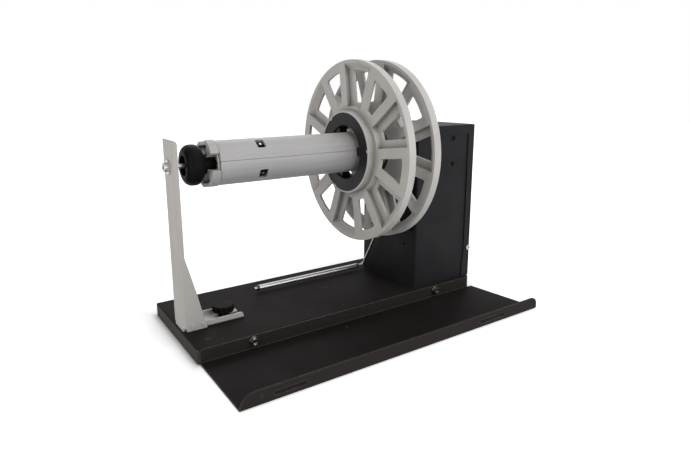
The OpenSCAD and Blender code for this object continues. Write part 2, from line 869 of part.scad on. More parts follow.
// Points of a toothed outline, each as radius and angle
function gear_points(teeth, root_r, rs, base_r, half) = [
  for (t = [0:teeth - 1]) let (a = 360 * t / teeth) each concat(
    [[root_r, a - half]], [for (r = rs) [r, a - flank_angle(r, base_r, half)]],
    [for (k = [flank_steps:-1:0]) [rs[k], a + flank_angle(rs[k], base_r, half)]],
    [[root_r, a + half]])];

module gear_outline(teeth) {
  pitch_r = gear_module * teeth / 2;
  base_r = pitch_r * cos(pressure_angle);
  tip_r = pitch_r + gear_module * tip_share;
  root_r = pitch_r - gear_module * root_share;
  low_r = max(root_r, base_r);
  half = 90 / teeth - backlash / pitch_r * 90 / PI + inv(pressure_angle);
  rs = [for (k = [0:flank_steps]) low_r + (tip_r - low_r) * k / flank_steps];
  polygon([for (p = gear_points(teeth, root_r, rs, base_r, half)) [p[0] * cos(p[1]), p[0] * sin(p[1])]]);
}

module spindle_gear() color([0.85, 0.84, 0.78]) on_spindle(gear_at) difference() {
  union() {
    linear_extrude(gear_w) gear_outline(spindle_teeth);
    translate([0, 0, -gear_hub]) cylinder(h = gear_hub + over, r = gear_hub_r);
  }
  translate([0, 0, -gear_gap - over]) cylinder(h = gear_w + gear_gap + 2 * over, r = shaft_r + fit / 2);
}

module motor_pinion() color([0.72, 0.6, 0.3]) translate([gear_at, 0, motor_z]) rotate([0, 90, 0])
  rotate([0, 0, 180 / pinion_teeth]) difference() {
    linear_extrude(gear_w) gear_outline(pinion_teeth);
    translate([0, 0, -over]) cylinder(h = gear_w + 2 * over, r = motor_shaft_r + fit / 2);
  }

// Spindle

// The hub screws follow the turn of the inner hub ring, whose shared moulding is mirrored
module hub_screw_turn(a) {
  rotate(inner_turn) rotate(a + 180) children();
}

shaft_left = -mandrel_reach - lug_len - knob_gap - knob_len + knob_recess - clip_t - loose;

module drive_shaft() color([0.74, 0.74, 0.76]) difference() {
  rod_x(shaft_left, shaft_end - shaft_left, shaft_r, 0, axis_h);
  rod_x(shaft_left - over, shaft_tip_depth + over, shaft_tip_r, 0, axis_h);
}

module mandrel_collar() color([0.7, 0.71, 0.72]) on_spindle() difference() {
  union() {
    translate([0, 0, collar_disc_at - collar_len]) cylinder(h = collar_len + over, r = collar_r);
    translate([0, 0, collar_disc_at]) cylinder(h = collar_disc_t, r = collar_disc_r);
  }
  translate([0, 0, collar_disc_at - collar_groove_in - collar_groove_w])
    ring(mandrel_r, collar_groove_r, collar_groove_w);
  translate([0, 0, collar_disc_at - collar_len - over])
    cylinder(h = collar_len + collar_disc_t + 2 * over, r = shaft_r + fit / 2);
  for (a = nib_angles) hub_screw_turn(a) translate([hub_screw_r, 0, collar_disc_at + collar_disc_t])
    sunk_hole(m3_r, m3_head_r, collar_disc_t + over);
}

module shaft_clips() color([0.3, 0.3, 0.32]) {
  on_spindle(shaft_left + loose / 2) ring(clip_r, shaft_r + fit / 2, clip_t);
  on_spindle(gear_at + gear_w + fit) ring(clip_r, shaft_r + fit / 2, clip_t);
}

// The wedge sleeve slides on the shaft and spreads the jaws with its two cones
module wedge_sleeve() color([0.07, 0.07, 0.07]) on_spindle() difference() {
  left = -mandrel_reach - neck_end;
  right = collar_disc_at - 2 * collar_len;
  union() {
    translate([0, 0, left]) cylinder(h = right - left, r = neck_r - thread_depth);
    translate([0, 0, -mandrel_reach]) cylinder(h = right + mandrel_reach, r = neck_r);
    for (k = [0:floor(neck_end / thread_pitch) - 1])
      translate([0, 0, left + k * thread_pitch]) ring(neck_r, shaft_r, thread_pitch / 2);
    for (x = cone_places) translate([0, 0, x])
      cylinder(h = cone_len, r1 = cone_r, r2 = cone_r - cone_slope * cone_len);
    for (x = guide_places()) translate([0, 0, x - guide_w / 2]) cylinder(h = guide_w, r = guide_r);
  }
  translate([0, 0, left - over]) cylinder(h = -left, r = shaft_r + fit);
  for (x = guide_places()) for (a = jaw_angles) translate([0, 0, x]) at_angle(a)
    rotate([0, 90, 0]) translate([0, 0, neck_r]) cylinder(h = guide_r, r = guide_pin_r + fit / 2);
}

function guide_places() = [-mandrel_reach + window_a_in + window_len / 2, -window_b_out + window_len / 2];

module guide_pins() color([0.8, 0.8, 0.82]) on_spindle()
  for (x = guide_places()) for (a = jaw_angles) translate([0, 0, x]) at_angle(a)
    rotate([0, 90, 0]) translate([0, 0, neck_r + fit])
      cylinder(h = mandrel_r - guide_pin_out - neck_r, r = guide_pin_r);

// Jaws

// Half section of a jaw with its lug below z = 0, end wall, flared rim, ramps and lip
module jaw_section(len) {
  a = cone_places[0] + mandrel_reach;
  b = cone_places[1] + mandrel_reach;
  high = cone_len - ramp_inset;
  r1 = cone_r - cone_slope * ramp_inset + pass;
  r2 = cone_r - cone_slope * high + pass;
  lip = len + jaw_lip_at;
  polygon([[lug_in_r, -lug_len], [lug_r, -lug_len], [lug_r, rim_flat], [mandrel_r, rim_flat + flare_len],
           [mandrel_r, len], [jaw_in_r, len], [jaw_in_r, lip + jaw_lip_w], [jaw_lip_r, lip + jaw_lip_w],
           [jaw_lip_r, lip], [jaw_in_r, lip],
           [jaw_in_r, b + high], [r2, b + high], [r1, b + ramp_inset], [jaw_in_r, b + ramp_inset],
           [jaw_in_r, a + high], [r2, a + high], [r1, a + ramp_inset], [jaw_in_r, a + ramp_inset],
           [jaw_in_r, end_wall], [lug_in_r, end_wall]]);
}

// What is cut away beside a lug, out to radius r
module beside_lug(r) {
  difference() {
    circle(r);
    wedge(lug_angle, 2 * r);
  }
}

module jaw(a) {
  len = jaw_right + mandrel_reach;
  on_spindle(-mandrel_reach) at_angle(a) difference() {
    intersection() {
      rotate_extrude() jaw_section(len);
      translate([0, 0, -lug_len - over]) linear_extrude(len + lug_len + 2 * over)
        translate([jaw_gap / 2 / sin(45), 0]) wedge(90, 2 * lug_r);
    }
    translate([0, 0, -lug_len - over]) linear_extrude(lug_len + over) beside_lug(lug_r + over);
    translate([0, 0, -over]) linear_extrude(end_wall + 2 * over) beside_lug(rim_bore_r);
    translate([0, 0, -ring_groove_w - loose])
      ring(return_ring_r + ring_room, return_ring_r - ring_room, ring_groove_w);
    for (s = [-1, 1]) rotate(s * lug_angle / 2) translate([0, 0, -relief_drop]) rotate([0, 90, 0])
      translate([0, 0, return_ring_r]) cylinder(h = lug_r, r = relief_r);
    for (x = guide_places()) translate([0, 0, x + mandrel_reach - window_len / 2]) jaw_window();
  }
}

// Cutter for a window with rounded corners, seen from the jaw's outside
module jaw_window() {
  w = 2 * mandrel_r * sin(window_angle / 2);
  translate([jaw_in_r - over, 0, 0]) rotate([90, 0, 90]) linear_extrude(2 * jaw_wall + over)
    translate([-w / 2, 0]) round_rect(w, window_len, [for (k = [0:3]) window_r]);
}

module jaw_1() color([0.72, 0.72, 0.73]) jaw(jaw_angles[0]);
module jaw_2() color([0.7, 0.7, 0.71]) jaw(jaw_angles[1]);
module jaw_3() color([0.72, 0.72, 0.73]) jaw(jaw_angles[2]);
module jaw_4() color([0.7, 0.7, 0.71]) jaw(jaw_angles[3]);

module return_ring() color([0.05, 0.05, 0.05]) on_spindle(-mandrel_reach - ring_groove_w / 2 - loose)
  rotate_extrude() translate([return_ring_r, 0]) circle(ring_tube);

// Expansion knob

module knob_profile() {
  r = knob_edge;
  square([knob_r - r, knob_len]);
  translate([0, r]) square([knob_r, knob_len - 2 * r]);
  for (z = [r, knob_len - r]) translate([knob_r - r, z]) circle(r);
}

module expansion_knob() color([0.06, 0.06, 0.06])
  on_spindle(-mandrel_reach - lug_len - knob_gap - knob_len) difference() {
    rotate_extrude() knob_profile();
    translate([0, 0, -over]) cylinder(h = knob_recess + over, r = knob_recess_r);
    cylinder(h = knob_len + over, r = shaft_r + fit);
    translate([0, 0, knob_recess + knob_web]) cylinder(h = knob_len, r = neck_r + 2 * fit);
  }

// Flanges, drawn with the boss towards the low end of the axis and the disc from zero up

// Wedge between the centre lines of two spokes, set in from each by a distance
module spoke_wedge(inset, half_angle) {
  start = inset / sin(half_angle);
  far = 2 * flange_r;
  polygon([[start, 0], [start + far * cos(half_angle), -far * sin(half_angle)],
           [start + far * cos(half_angle), far * sin(half_angle)]]);
}

module window_outline() {
  c = window_corner;
  intersection() {
    difference() {
      circle(window_out_r);
      circle(window_in_r);
    }
    spoke_wedge(spoke_half + c, window_pitch / 2);
  }
  intersection() {
    difference() {
      circle(window_out_r - c);
      circle(window_in_r + c);
    }
    spoke_wedge(spoke_half, window_pitch / 2);
  }
  for (r = [window_in_r + c, window_out_r - c]) for (s = [-1, 1])
    rotate(s * (window_pitch / 2 - asin((spoke_half + c) / r))) translate([r, 0]) circle(c);
}

// One pocket between two risers, open at z = 0
module pocket() {
  depth = flange_w - flange_skin;
  intersection() {
    rotate_extrude() polygon([[pocket_in_r, -over], [flange_r - rim_w, -over], [flange_r - rim_w, 0],
                              [flange_r - rim_w - rim_drop, depth], [pocket_in_r + pocket_slope, depth],
                              [pocket_in_r, 0]]);
    translate([0, 0, -over]) linear_extrude(flange_w + over) spoke_wedge(riser_t / 2, window_pitch / 2);
  }
}

module flange_disc() {
  difference() {
    union() {
      cylinder(h = flange_w, r = flange_r);
      translate([0, 0, -boss_h]) cylinder(h = boss_h + over, r = boss_r);
    }
    for (k = [0:2:window_count - 1]) {
      at_angle(flange_shift + window_pitch * k) pocket();
      at_angle(flange_shift + window_pitch * (k + 1)) translate([0, 0, flange_w]) mirror([0, 0, 1]) pocket();
    }
    for (k = [0:window_count - 1]) at_angle(flange_shift + window_pitch * k) translate([0, 0, -over])
      linear_extrude(flange_w + 2 * over) window_outline();
    difference() {
      translate([0, 0, -boss_h - over]) cylinder(h = ring_pocket + over, r = ring_r + fit);
      for (a = nib_angles) at_angle(a) translate([0, 0, -boss_h]) linear_extrude(ring_sink)
        difference() {
          wedge(nib_angle, 2 * ring_r);
          circle(nib_r);
        }
    }
    cylinder(h = flange_w + over, r = web_bore_r);
  }
}

module hub_ring(shoes) {
  top = ring_pocket - boss_h;
  difference() {
    union() {
      translate([0, 0, -boss_h + ring_sink]) ring(ring_r, ring_bore_r, ring_pocket - ring_sink);
      if (shoes) for (a = nib_angles) at_angle(a) translate([0, 0, top - shoe_len - flange_skin])
        linear_extrude(shoe_len) intersection() {
          difference() {
            circle(ring_bore_r + over);
            circle(shoe_r);
          }
          wedge(shoe_angle, 2 * ring_bore_r);
        }
    }
    if (!shoes) for (a = nib_angles) at_angle(a)
      translate([hub_screw_r, 0, -boss_h]) cylinder(h = boss_h, r = m3_r + fit);
  }
}

module outer_flange() color([0.63, 0.62, 0.6]) on_spindle(-outer_flange_at) flange_disc();
module outer_hub_ring() color([0.07, 0.07, 0.07]) on_spindle(-outer_flange_at) hub_ring(true);

// The inner flange is the same moulding turned over, with its boss on the collar's disc
module turned_over() {
  on_spindle(-inner_flange_at + flange_w) mirror([0, 0, 1]) rotate(inner_turn) children();
}

module inner_flange() color([0.6, 0.59, 0.57]) turned_over() flange_disc();
module inner_hub_ring() color([0.07, 0.07, 0.07]) turned_over() hub_ring(false);

module hub_ring_screws() color([0.3, 0.3, 0.3]) on_spindle(collar_disc_at + collar_disc_t)
  for (a = nib_angles) hub_screw_turn(a) translate([hub_screw_r, 0, 0])
    sunk_screw(m3_r, m3_head_r, 2 * collar_disc_t);

// Support arm

module post_side() {
  w = post_flange;
  intersection() {
    polygon([[0, base_h], [post_flange_low, base_h], [post_flare_mid_w, post_flare_mid],
             [w, post_flare_top], [w, post_top], [0, post_top]]);
    translate([-over, 0]) round_rect(post_flange + over, post_top, [0, 0, post_corner_r, 0]);
  }
  polygon([[0, base_h], [post_flange_low, base_h], [post_flare_mid_w, post_flare_mid], [w, post_flare_top],
           [0, post_flare_top]]);
}

module support_post() color([0.5, 0.5, 0.48]) difference() {
  intersection() {
    plate_y(-post_half, 2 * post_half) translate([post_x, 0]) post_side();
    translate([post_x, -post_half, 0]) linear_extrude(post_top + over)
      round_rect(post_flange_low + over, 2 * post_half, [pan_inner, 0, 0, pan_inner]);
  }
  translate([post_x + sheet_t, -post_half + sheet_t, base_h - over]) linear_extrude(post_top)
    round_rect(post_flange_low + over, 2 * (post_half - sheet_t), [bend_in, 0, 0, bend_in]);
  for (y = [-post_half, post_half - post_notch]) translate([post_x - over, y, base_h - over])
    cube([sheet_t + 2 * over, post_notch, post_notch + over]);
  rod_x(post_x - over, sheet_t + 2 * over, pin_r + fit, 0, axis_h);
  for (x = rivet_xs) rod_y(-post_half - over, 2 * (post_half + over), rivet_r + fit, x, base_h + rivet_up);
}

foot_x = post_x + sheet_t + bend_in;
foot_half = post_half - sheet_t;

module support_foot() color([0.56, 0.55, 0.53]) difference() {
  intersection() {
    plate_x(foot_x, foot_len) translate([-foot_half, base_h]) difference() {
      round_rect(2 * foot_half, sheet_t + foot_lip_h, [pan_inner, pan_inner, 0, 0]);
      translate([sheet_t, sheet_t])
        round_rect(2 * (foot_half - sheet_t), 2 * foot_lip_h, [bend_in, bend_in, 0, 0]);
    }
    plate_y(-foot_half - over, 2 * (foot_half + over)) translate([foot_x, base_h])
      round_rect(foot_len, sheet_t + foot_lip_h, [0, 0, foot_lip_r, 0]);
  }
  translate([-foot_slot_out, -foot_slot_half, base_h - over])
    cube([foot_len, 2 * foot_slot_half, sheet_t + 2 * over]);
  for (x = rivet_xs) rod_y(-post_half - over, 2 * (post_half + over), rivet_r + fit, x, base_h + rivet_up);
}

module support_rivets() color([0.7, 0.7, 0.7]) for (x = rivet_xs) for (s = [-1, 1])
  translate([x, s * post_half, base_h + rivet_up]) rotate([-90 * s, 0, 0]) {
    cylinder(h = rivet_head, r = rivet_head_r);
    translate([0, 0, -2 * sheet_t]) cylinder(h = 2 * sheet_t + rivet_head / 2, r = rivet_r);
    translate([0, 0, -2 * sheet_t - rivet_head]) cylinder(h = rivet_head, r = rivet_tail_r);
  }

module pivot_pin() color([0.78, 0.78, 0.79]) {
  on_spindle(post_x - pin_washer_t - pin_head) difference() {
    cylinder(h = pin_head, r = pin_head_r);
    translate([0, 0, -over]) cylinder(h = pin_head * socket_share + over, r = pin_socket_r, $fn = 6);
  }
  rod_x(post_x - pin_washer_t - pin_lap, pin_tip_x - post_x + pin_washer_t + pin_lap, pin_r, 0, axis_h);
}

module pin_washers() color([0.72, 0.72, 0.73]) {
  on_spindle(post_x - pin_washer_t) ring(pin_washer_r, pin_r + fit, pin_washer_t);
  on_spindle(post_x + sheet_t) ring(pin_washer_r, pin_r + fit, pin_washer_t);
}

module clamp_stud() color([0.75, 0.75, 0.76]) translate([-stud_out, 0, 0]) {
  translate([0, 0, base_h - sheet_t - stud_flange]) cylinder(h = stud_flange, r = stud_flange_r);
  translate([0, 0, base_h - sheet_t - stud_flange])
    cylinder(h = stud_flange + 2 * sheet_t + clamp_stem + clamp_h / 2, r = stud_r);
}

module clamp_knob() color([0.06, 0.06, 0.06]) translate([-stud_out, 0, base_h + sheet_t]) difference() {
  union() {
    cylinder(h = clamp_stem + clamp_edge, r = clamp_stem_r);
    translate([0, 0, clamp_stem]) rotate_extrude() {
      square([clamp_r - clamp_edge, clamp_h]);
      translate([0, clamp_edge]) square([clamp_r, clamp_h - 2 * clamp_edge]);
      translate([clamp_r - clamp_edge, clamp_edge]) circle(clamp_edge);
      translate([clamp_r - clamp_edge, clamp_h - clamp_edge]) circle(clamp_edge);
    }
  }
  translate([0, 0, -over]) cylinder(h = clamp_stem + clamp_h / 2 + loose + over, r = stud_r + fit);
  for (k = [0:clamp_flutes - 1]) rotate(360 * k / clamp_flutes)
    translate([clamp_r + clamp_flute_r / 2, 0, clamp_stem - over])
      cylinder(h = clamp_h + 2 * over, r = clamp_flute_r);
}

// Dancer

module at_pivot(x) {
  translate([x, pivot_y, pivot_z]) rotate([0, 90, 0]) children();
}

module dancer_bush() color([0.78, 0.66, 0.4]) at_pivot(-bush_flange) difference() {
  union() {
    cylinder(h = bush_flange, r = bush_flange_r);
    cylinder(h = bush_flange + bush_len, r = bush_r);
  }
  translate([0, 0, -over]) cylinder(h = bush_flange + bush_len + 2 * over, r = dancer_shaft_r + fit);
}

module dancer_nut() color([0.7, 0.7, 0.72]) at_pivot(sheet_t) difference() {
  cylinder(h = nut_w, r = nut_flat_r, $fn = 6);
  translate([0, 0, -over]) cylinder(h = nut_w + 2 * over, r = bush_r + fit);
}

module dancer_arm() color([0.76, 0.76, 0.77]) {
  dy = roller_y - pivot_y;
  dz = roller_z - pivot_z;
  angle = atan2(dz, dy);
  at_pivot(dancer_hub_left) cylinder(h = dancer_hub_right - dancer_hub_left, r = dancer_hub_r);
  at_pivot(dancer_hub_left) cylinder(h = lever_at + lever_t - dancer_hub_left, r = dancer_shaft_r);
  translate([dancer_x, pivot_y, pivot_z]) rotate([angle, 0, 0]) {
    rotate([-90, 0, 0]) cylinder(h = dancer_reach - dancer_bend + rod_lap, r = dancer_rod_r);
    translate([-dancer_bend, dancer_reach - dancer_bend, 0]) rotate_extrude(angle = 90)
      translate([dancer_bend, 0]) circle(dancer_rod_r + bend_grow);
  }
  rod_x(axle_left, dancer_x - dancer_bend + rod_lap - axle_left, dancer_rod_r, roller_y, roller_z);
}

module dancer_lever() color([0.85, 0.85, 0.83]) at_pivot(lever_at) difference() {
  union() {
    cylinder(h = lever_t, r = lever_r);
    translate([0, lever_len, 0]) cylinder(h = lever_t, r = lever_tip_r);
    translate([-lever_tip_r, 0, 0]) cube([2 * lever_tip_r, lever_len, lever_t]);
  }
  translate([0, 0, -over]) cylinder(h = lever_t + 2 * over, r = dancer_shaft_r + fit / 2);
}

module dancer_spring() color([0.6, 0.6, 0.62]) at_pivot(sheet_t + nut_w + loose)
  ring(spring_r, bush_r + loose, spring_turns * 2 * spring_wire);

module dancer_sensor() color([0.1, 0.3, 0.15]) difference() {
  union() {
    plate_x(sensor_at, board_t) translate([pivot_y - sensor_half, pivot_z - sensor_half])
      square([2 * sensor_half + lever_len, 2 * sensor_half]);
    for (y = [pivot_y - sensor_post_off, pivot_y + sensor_post_off + lever_len])
      rod_x(sheet_t, sensor_at - sheet_t + board_t / 2, standoff_r, y, pivot_z - sensor_post_off);
  }
}

module dancer_roller() color([0.7, 0.7, 0.71]) translate([roller_right - roller_len, roller_y, roller_z])
  rotate([0, 90, 0]) ring(roller_r, dancer_rod_r + fit, roller_len);

module roller_clips() color([0.2, 0.2, 0.2])
  for (x = [roller_right - roller_len - clip_collar_w - loose, roller_right + loose])
    translate([x, roller_y, roller_z]) rotate([0, 90, 0])
      ring(clip_collar_r, dancer_rod_r + fit / 2, clip_collar_w);

// Board and controls

function standoff_places() = [
  for (x = [board_x0 + board_inset, board_x0 + board_len - board_inset])
    for (z = [board_z0 + board_inset, board_z0 + board_w - board_inset]) [x, z]];

module board_standoffs() color([0.75, 0.7, 0.5]) for (p = standoff_places()) {
  rod_y(rear_wall - standoff_h, standoff_h, standoff_r, p[0], p[1]);
  rod_y(rear_wall - standoff_h - board_t - low_head_h, standoff_h, m3_tap_r, p[0], p[1]);
  rod_y(rear_wall - standoff_h - board_t - low_head_h, low_head_h, m3_head_r, p[0], p[1]);
}

module control_board() color([0.08, 0.3, 0.15]) difference() {
  translate([board_x0, rear_wall - standoff_h - board_t, board_z0]) cube([board_len, board_t, board_w]);
  for (p = standoff_places())
    rod_y(rear_wall - standoff_h - board_t - over, board_t + 2 * over, m3_r, p[0], p[1]);
}

module board_parts() color([0.12, 0.12, 0.12]) {
  face = rear_wall - standoff_h - board_t;
  rod_y(face - can_h, can_h, can_r, board_x0 + board_len / 4, board_z0 + board_w / 2);
  translate([board_x0 + board_len / 2, face - chip_size[1], board_z0 + board_w / 4]) cube(chip_size);
  translate([board_x0 + board_len / 2, face - plug_size[1], board_z0 + board_w * 3 / 4]) cube(plug_size);
}

module rocker_housing() color([0.06, 0.06, 0.06]) difference() {
  union() {
    translate([rocker_x - rocker_half_w - rocker_frame, cab_rear, rocker_z - rocker_half_h - rocker_frame])
      cube([2 * (rocker_half_w + rocker_frame), rocker_frame, 2 * (rocker_half_h + rocker_frame)]);
    translate([rocker_x - rocker_half_w + fit, cab_rear - rocker_depth, rocker_z - rocker_half_h + fit])
      cube([2 * (rocker_half_w - fit), rocker_depth + rocker_frame / 2, 2 * (rocker_half_h - fit)]);
  }
  w = rocker_half_w - rocker_wall;
  h = rocker_half_h - rocker_wall;
  translate([rocker_x - w, cab_rear - rocker_depth + 2 * rocker_wall, rocker_z - h])
    cube([2 * w, rocker_depth + 2 * rocker_frame, 2 * h]);
}

// The rocker turns about a line in the plane of the cabinet's rear face
module rocker() color([0.09, 0.09, 0.09]) {
  w = rocker_half_w - rocker_wall - pass;
  r = rocker_half_h - rocker_wall - 2 * pass;
  translate([rocker_x - w, cab_rear, rocker_z]) rotate([90, 0, 90]) linear_extrude(2 * w)
    difference() {
      intersection() {
        circle(r);
        translate([-rocker_back, -r]) square([rocker_depth, 2 * r]);
      }
      translate([rocker_dish_out, 0]) circle(rocker_dish_r);
    }
}

module dial_potentiometer() color([0.3, 0.3, 0.32]) difference() {
  union() {
    rod_y(rear_wall - pot_len, pot_len, pot_r, dial_x, dial_z);
    rod_y(rear_wall - over, over + sheet_t + pot_thread_out, pot_thread_r, dial_x, dial_z);
  }
  rod_y(rear_wall - pot_len / 2, pot_len, pot_shaft_r + fit, dial_x, dial_z);
}

module torque_dial() color([0.07, 0.07, 0.07]) difference() {
  union() {
    rod_y(cab_rear + dial_gap, dial_h, dial_r, dial_x, dial_z);
    rod_y(rear_wall - pot_len / 2 + loose, pot_len, pot_shaft_r, dial_x, dial_z);
  }
  translate([dial_x, cab_rear + dial_gap + dial_skirt, dial_z]) rotate([-90, 0, 0])
    for (k = [0:dial_flutes - 1]) rotate(360 * k / dial_flutes)
      translate([dial_r + dial_flute_r / 2, 0, 0]) cylinder(h = dial_h, r = dial_flute_r);
}

module power_inlet() color([0.08, 0.08, 0.08]) difference() {
  union() {
    rod_y(cab_rear, inlet_flange, inlet_flange_r, inlet_x, inlet_z);
    rod_y(cab_rear - inlet_depth, inlet_depth + inlet_flange / 2, inlet_r, inlet_x, inlet_z);
  }
  difference() {
    rod_y(cab_rear - inlet_depth + inlet_flange, inlet_depth + over, inlet_bore_r, inlet_x, inlet_z);
    rod_y(cab_rear - inlet_depth, inlet_depth, inlet_pin_r, inlet_x, inlet_z);
  }
}

base_pan();
rubber_feet();
feet_screws();
alignment_tray();
tray_screws();
tray_washers();
tray_press_nuts();
cabinet_chassis();
cabinet_cover();
chassis_screws();
cover_screws();
bracket_screws();
bearing_housing();
housing_screws();
spindle_bearings();
motor_bracket();
drive_motor();
motor_screws();
motor_shaft();
motor_pinion();
spindle_gear();
drive_shaft();
mandrel_collar();
shaft_clips();
wedge_sleeve();
guide_pins();
jaw_1();
jaw_2();
jaw_3();
jaw_4();
return_ring();
expansion_knob();
inner_flange();
inner_hub_ring();
hub_ring_screws();
outer_flange();
outer_hub_ring();
support_post();
support_foot();
support_rivets();
pivot_pin();
pin_washers();
clamp_stud();
clamp_knob();
dancer_bush();
dancer_nut();
dancer_arm();
dancer_lever();
dancer_spring();
dancer_sensor();
dancer_roller();
roller_clips();
control_board();
board_standoffs();
board_parts();
rocker_housing();
rocker();
dial_potentiometer();
torque_dial();
power_inlet();
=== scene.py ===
"""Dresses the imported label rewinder: camera, light, floor, materials and the fine pieces."""

import json
import math

import bmesh
import bpy
from mathutils import Matrix, Vector


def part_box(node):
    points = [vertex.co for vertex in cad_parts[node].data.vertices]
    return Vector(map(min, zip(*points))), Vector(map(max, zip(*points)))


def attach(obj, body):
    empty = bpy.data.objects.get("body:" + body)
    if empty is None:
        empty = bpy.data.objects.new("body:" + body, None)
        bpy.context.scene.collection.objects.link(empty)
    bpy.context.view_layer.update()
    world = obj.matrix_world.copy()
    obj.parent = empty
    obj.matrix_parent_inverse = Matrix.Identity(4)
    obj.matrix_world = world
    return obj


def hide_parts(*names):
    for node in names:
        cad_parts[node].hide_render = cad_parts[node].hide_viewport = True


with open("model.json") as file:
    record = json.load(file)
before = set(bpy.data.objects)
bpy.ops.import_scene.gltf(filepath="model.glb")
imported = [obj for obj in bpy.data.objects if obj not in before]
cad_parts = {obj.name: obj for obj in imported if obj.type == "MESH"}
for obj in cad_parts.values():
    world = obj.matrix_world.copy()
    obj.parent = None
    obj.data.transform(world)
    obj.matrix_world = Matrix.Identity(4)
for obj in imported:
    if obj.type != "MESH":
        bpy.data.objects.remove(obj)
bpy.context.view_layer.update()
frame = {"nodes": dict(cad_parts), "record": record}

MM = 0.001
NODES = frame["nodes"]


def new_object(name, data):
    """An object of the scene that shows the data."""
    obj = bpy.data.objects.new(name, data)
    bpy.context.scene.collection.objects.link(obj)
    return obj


# Camera of the photograph, solved from its straight edges and circles

IMAGE_W, IMAGE_H = 690, 460
FOCAL_PX = 534.9
CENTRE_PX = (326.8, 201.6)
CAMERA_AT = Vector((-353.4, -429.9, 214.0)) * MM
YAW, PITCH, ROLL = (math.radians(a) for a in (32.69, 11.99, -0.47))
SENSOR_MM = 36.0
CLIP_START = 0.01


def make_camera():
    data = bpy.data.cameras.new("photo_camera")
    data.sensor_width = SENSOR_MM
    data.lens = FOCAL_PX * SENSOR_MM / IMAGE_W
    data.shift_x = (IMAGE_W / 2 - CENTRE_PX[0]) / IMAGE_W
    data.shift_y = (CENTRE_PX[1] - IMAGE_H / 2) / IMAGE_W
    data.clip_start = CLIP_START
    camera = new_object("photo_camera", data)
    ahead = Vector((math.sin(YAW) * math.cos(PITCH), math.cos(YAW) * math.cos(PITCH), -math.sin(PITCH)))
    level = Vector((math.cos(YAW), -math.sin(YAW), 0.0))
    above = level.cross(ahead)
    right = level * math.cos(ROLL) + above * math.sin(ROLL)
    up = above * math.cos(ROLL) - level * math.sin(ROLL)
    turn = Matrix((right, up, -ahead)).transposed()
    camera.matrix_world = Matrix.Translation(CAMERA_AT) @ turn.to_4x4()
    bpy.context.scene.camera = camera


# Colours and shader nodes

# Sockets of the Mix node in colour mode, whose names its other modes use too
MIX_FACTOR, MIX_A, MIX_B = 0, 6, 7
MIX_RESULT = 2
NOISE_ROUGHNESS = 0.55
COAT_ROUGHNESS = 0.25


def srgb(r, g, b):
    """Colour written as 0-255 screen values, turned into the linear values of a shader."""
    def lin(v):
        v /= 255
        return v / 12.92 if v <= 0.04045 else ((v + 0.055) / 1.055) ** 2.4
    return (lin(r), lin(g), lin(b), 1.0)


def grey(level):
    """Linear grey from 0, black, to 1, white."""
    return (level, level, level, 1.0)


def new_node(tree, kind, values=None):
    """A shader node, with values for its inputs by their names."""
    node = tree.nodes.new("ShaderNode" + kind)
    for name, value in (values or {}).items():
        node.inputs[name].default_value = value
    return node


def math_node(tree, operation, *values):
    """A Math node; each value is a number or an output."""
    node = new_node(tree, "Math")
    node.operation = operation
    for socket, value in zip(node.inputs, values):
        if isinstance(value, (int, float)):
            socket.default_value = value
        else:
            tree.links.new(value, socket)
    return node


def colour_out(node):
    """Colour output of a ramp or a texture, or of a Mix node."""
    return node.outputs["Color"] if "Color" in node.outputs else node.outputs[MIX_RESULT]


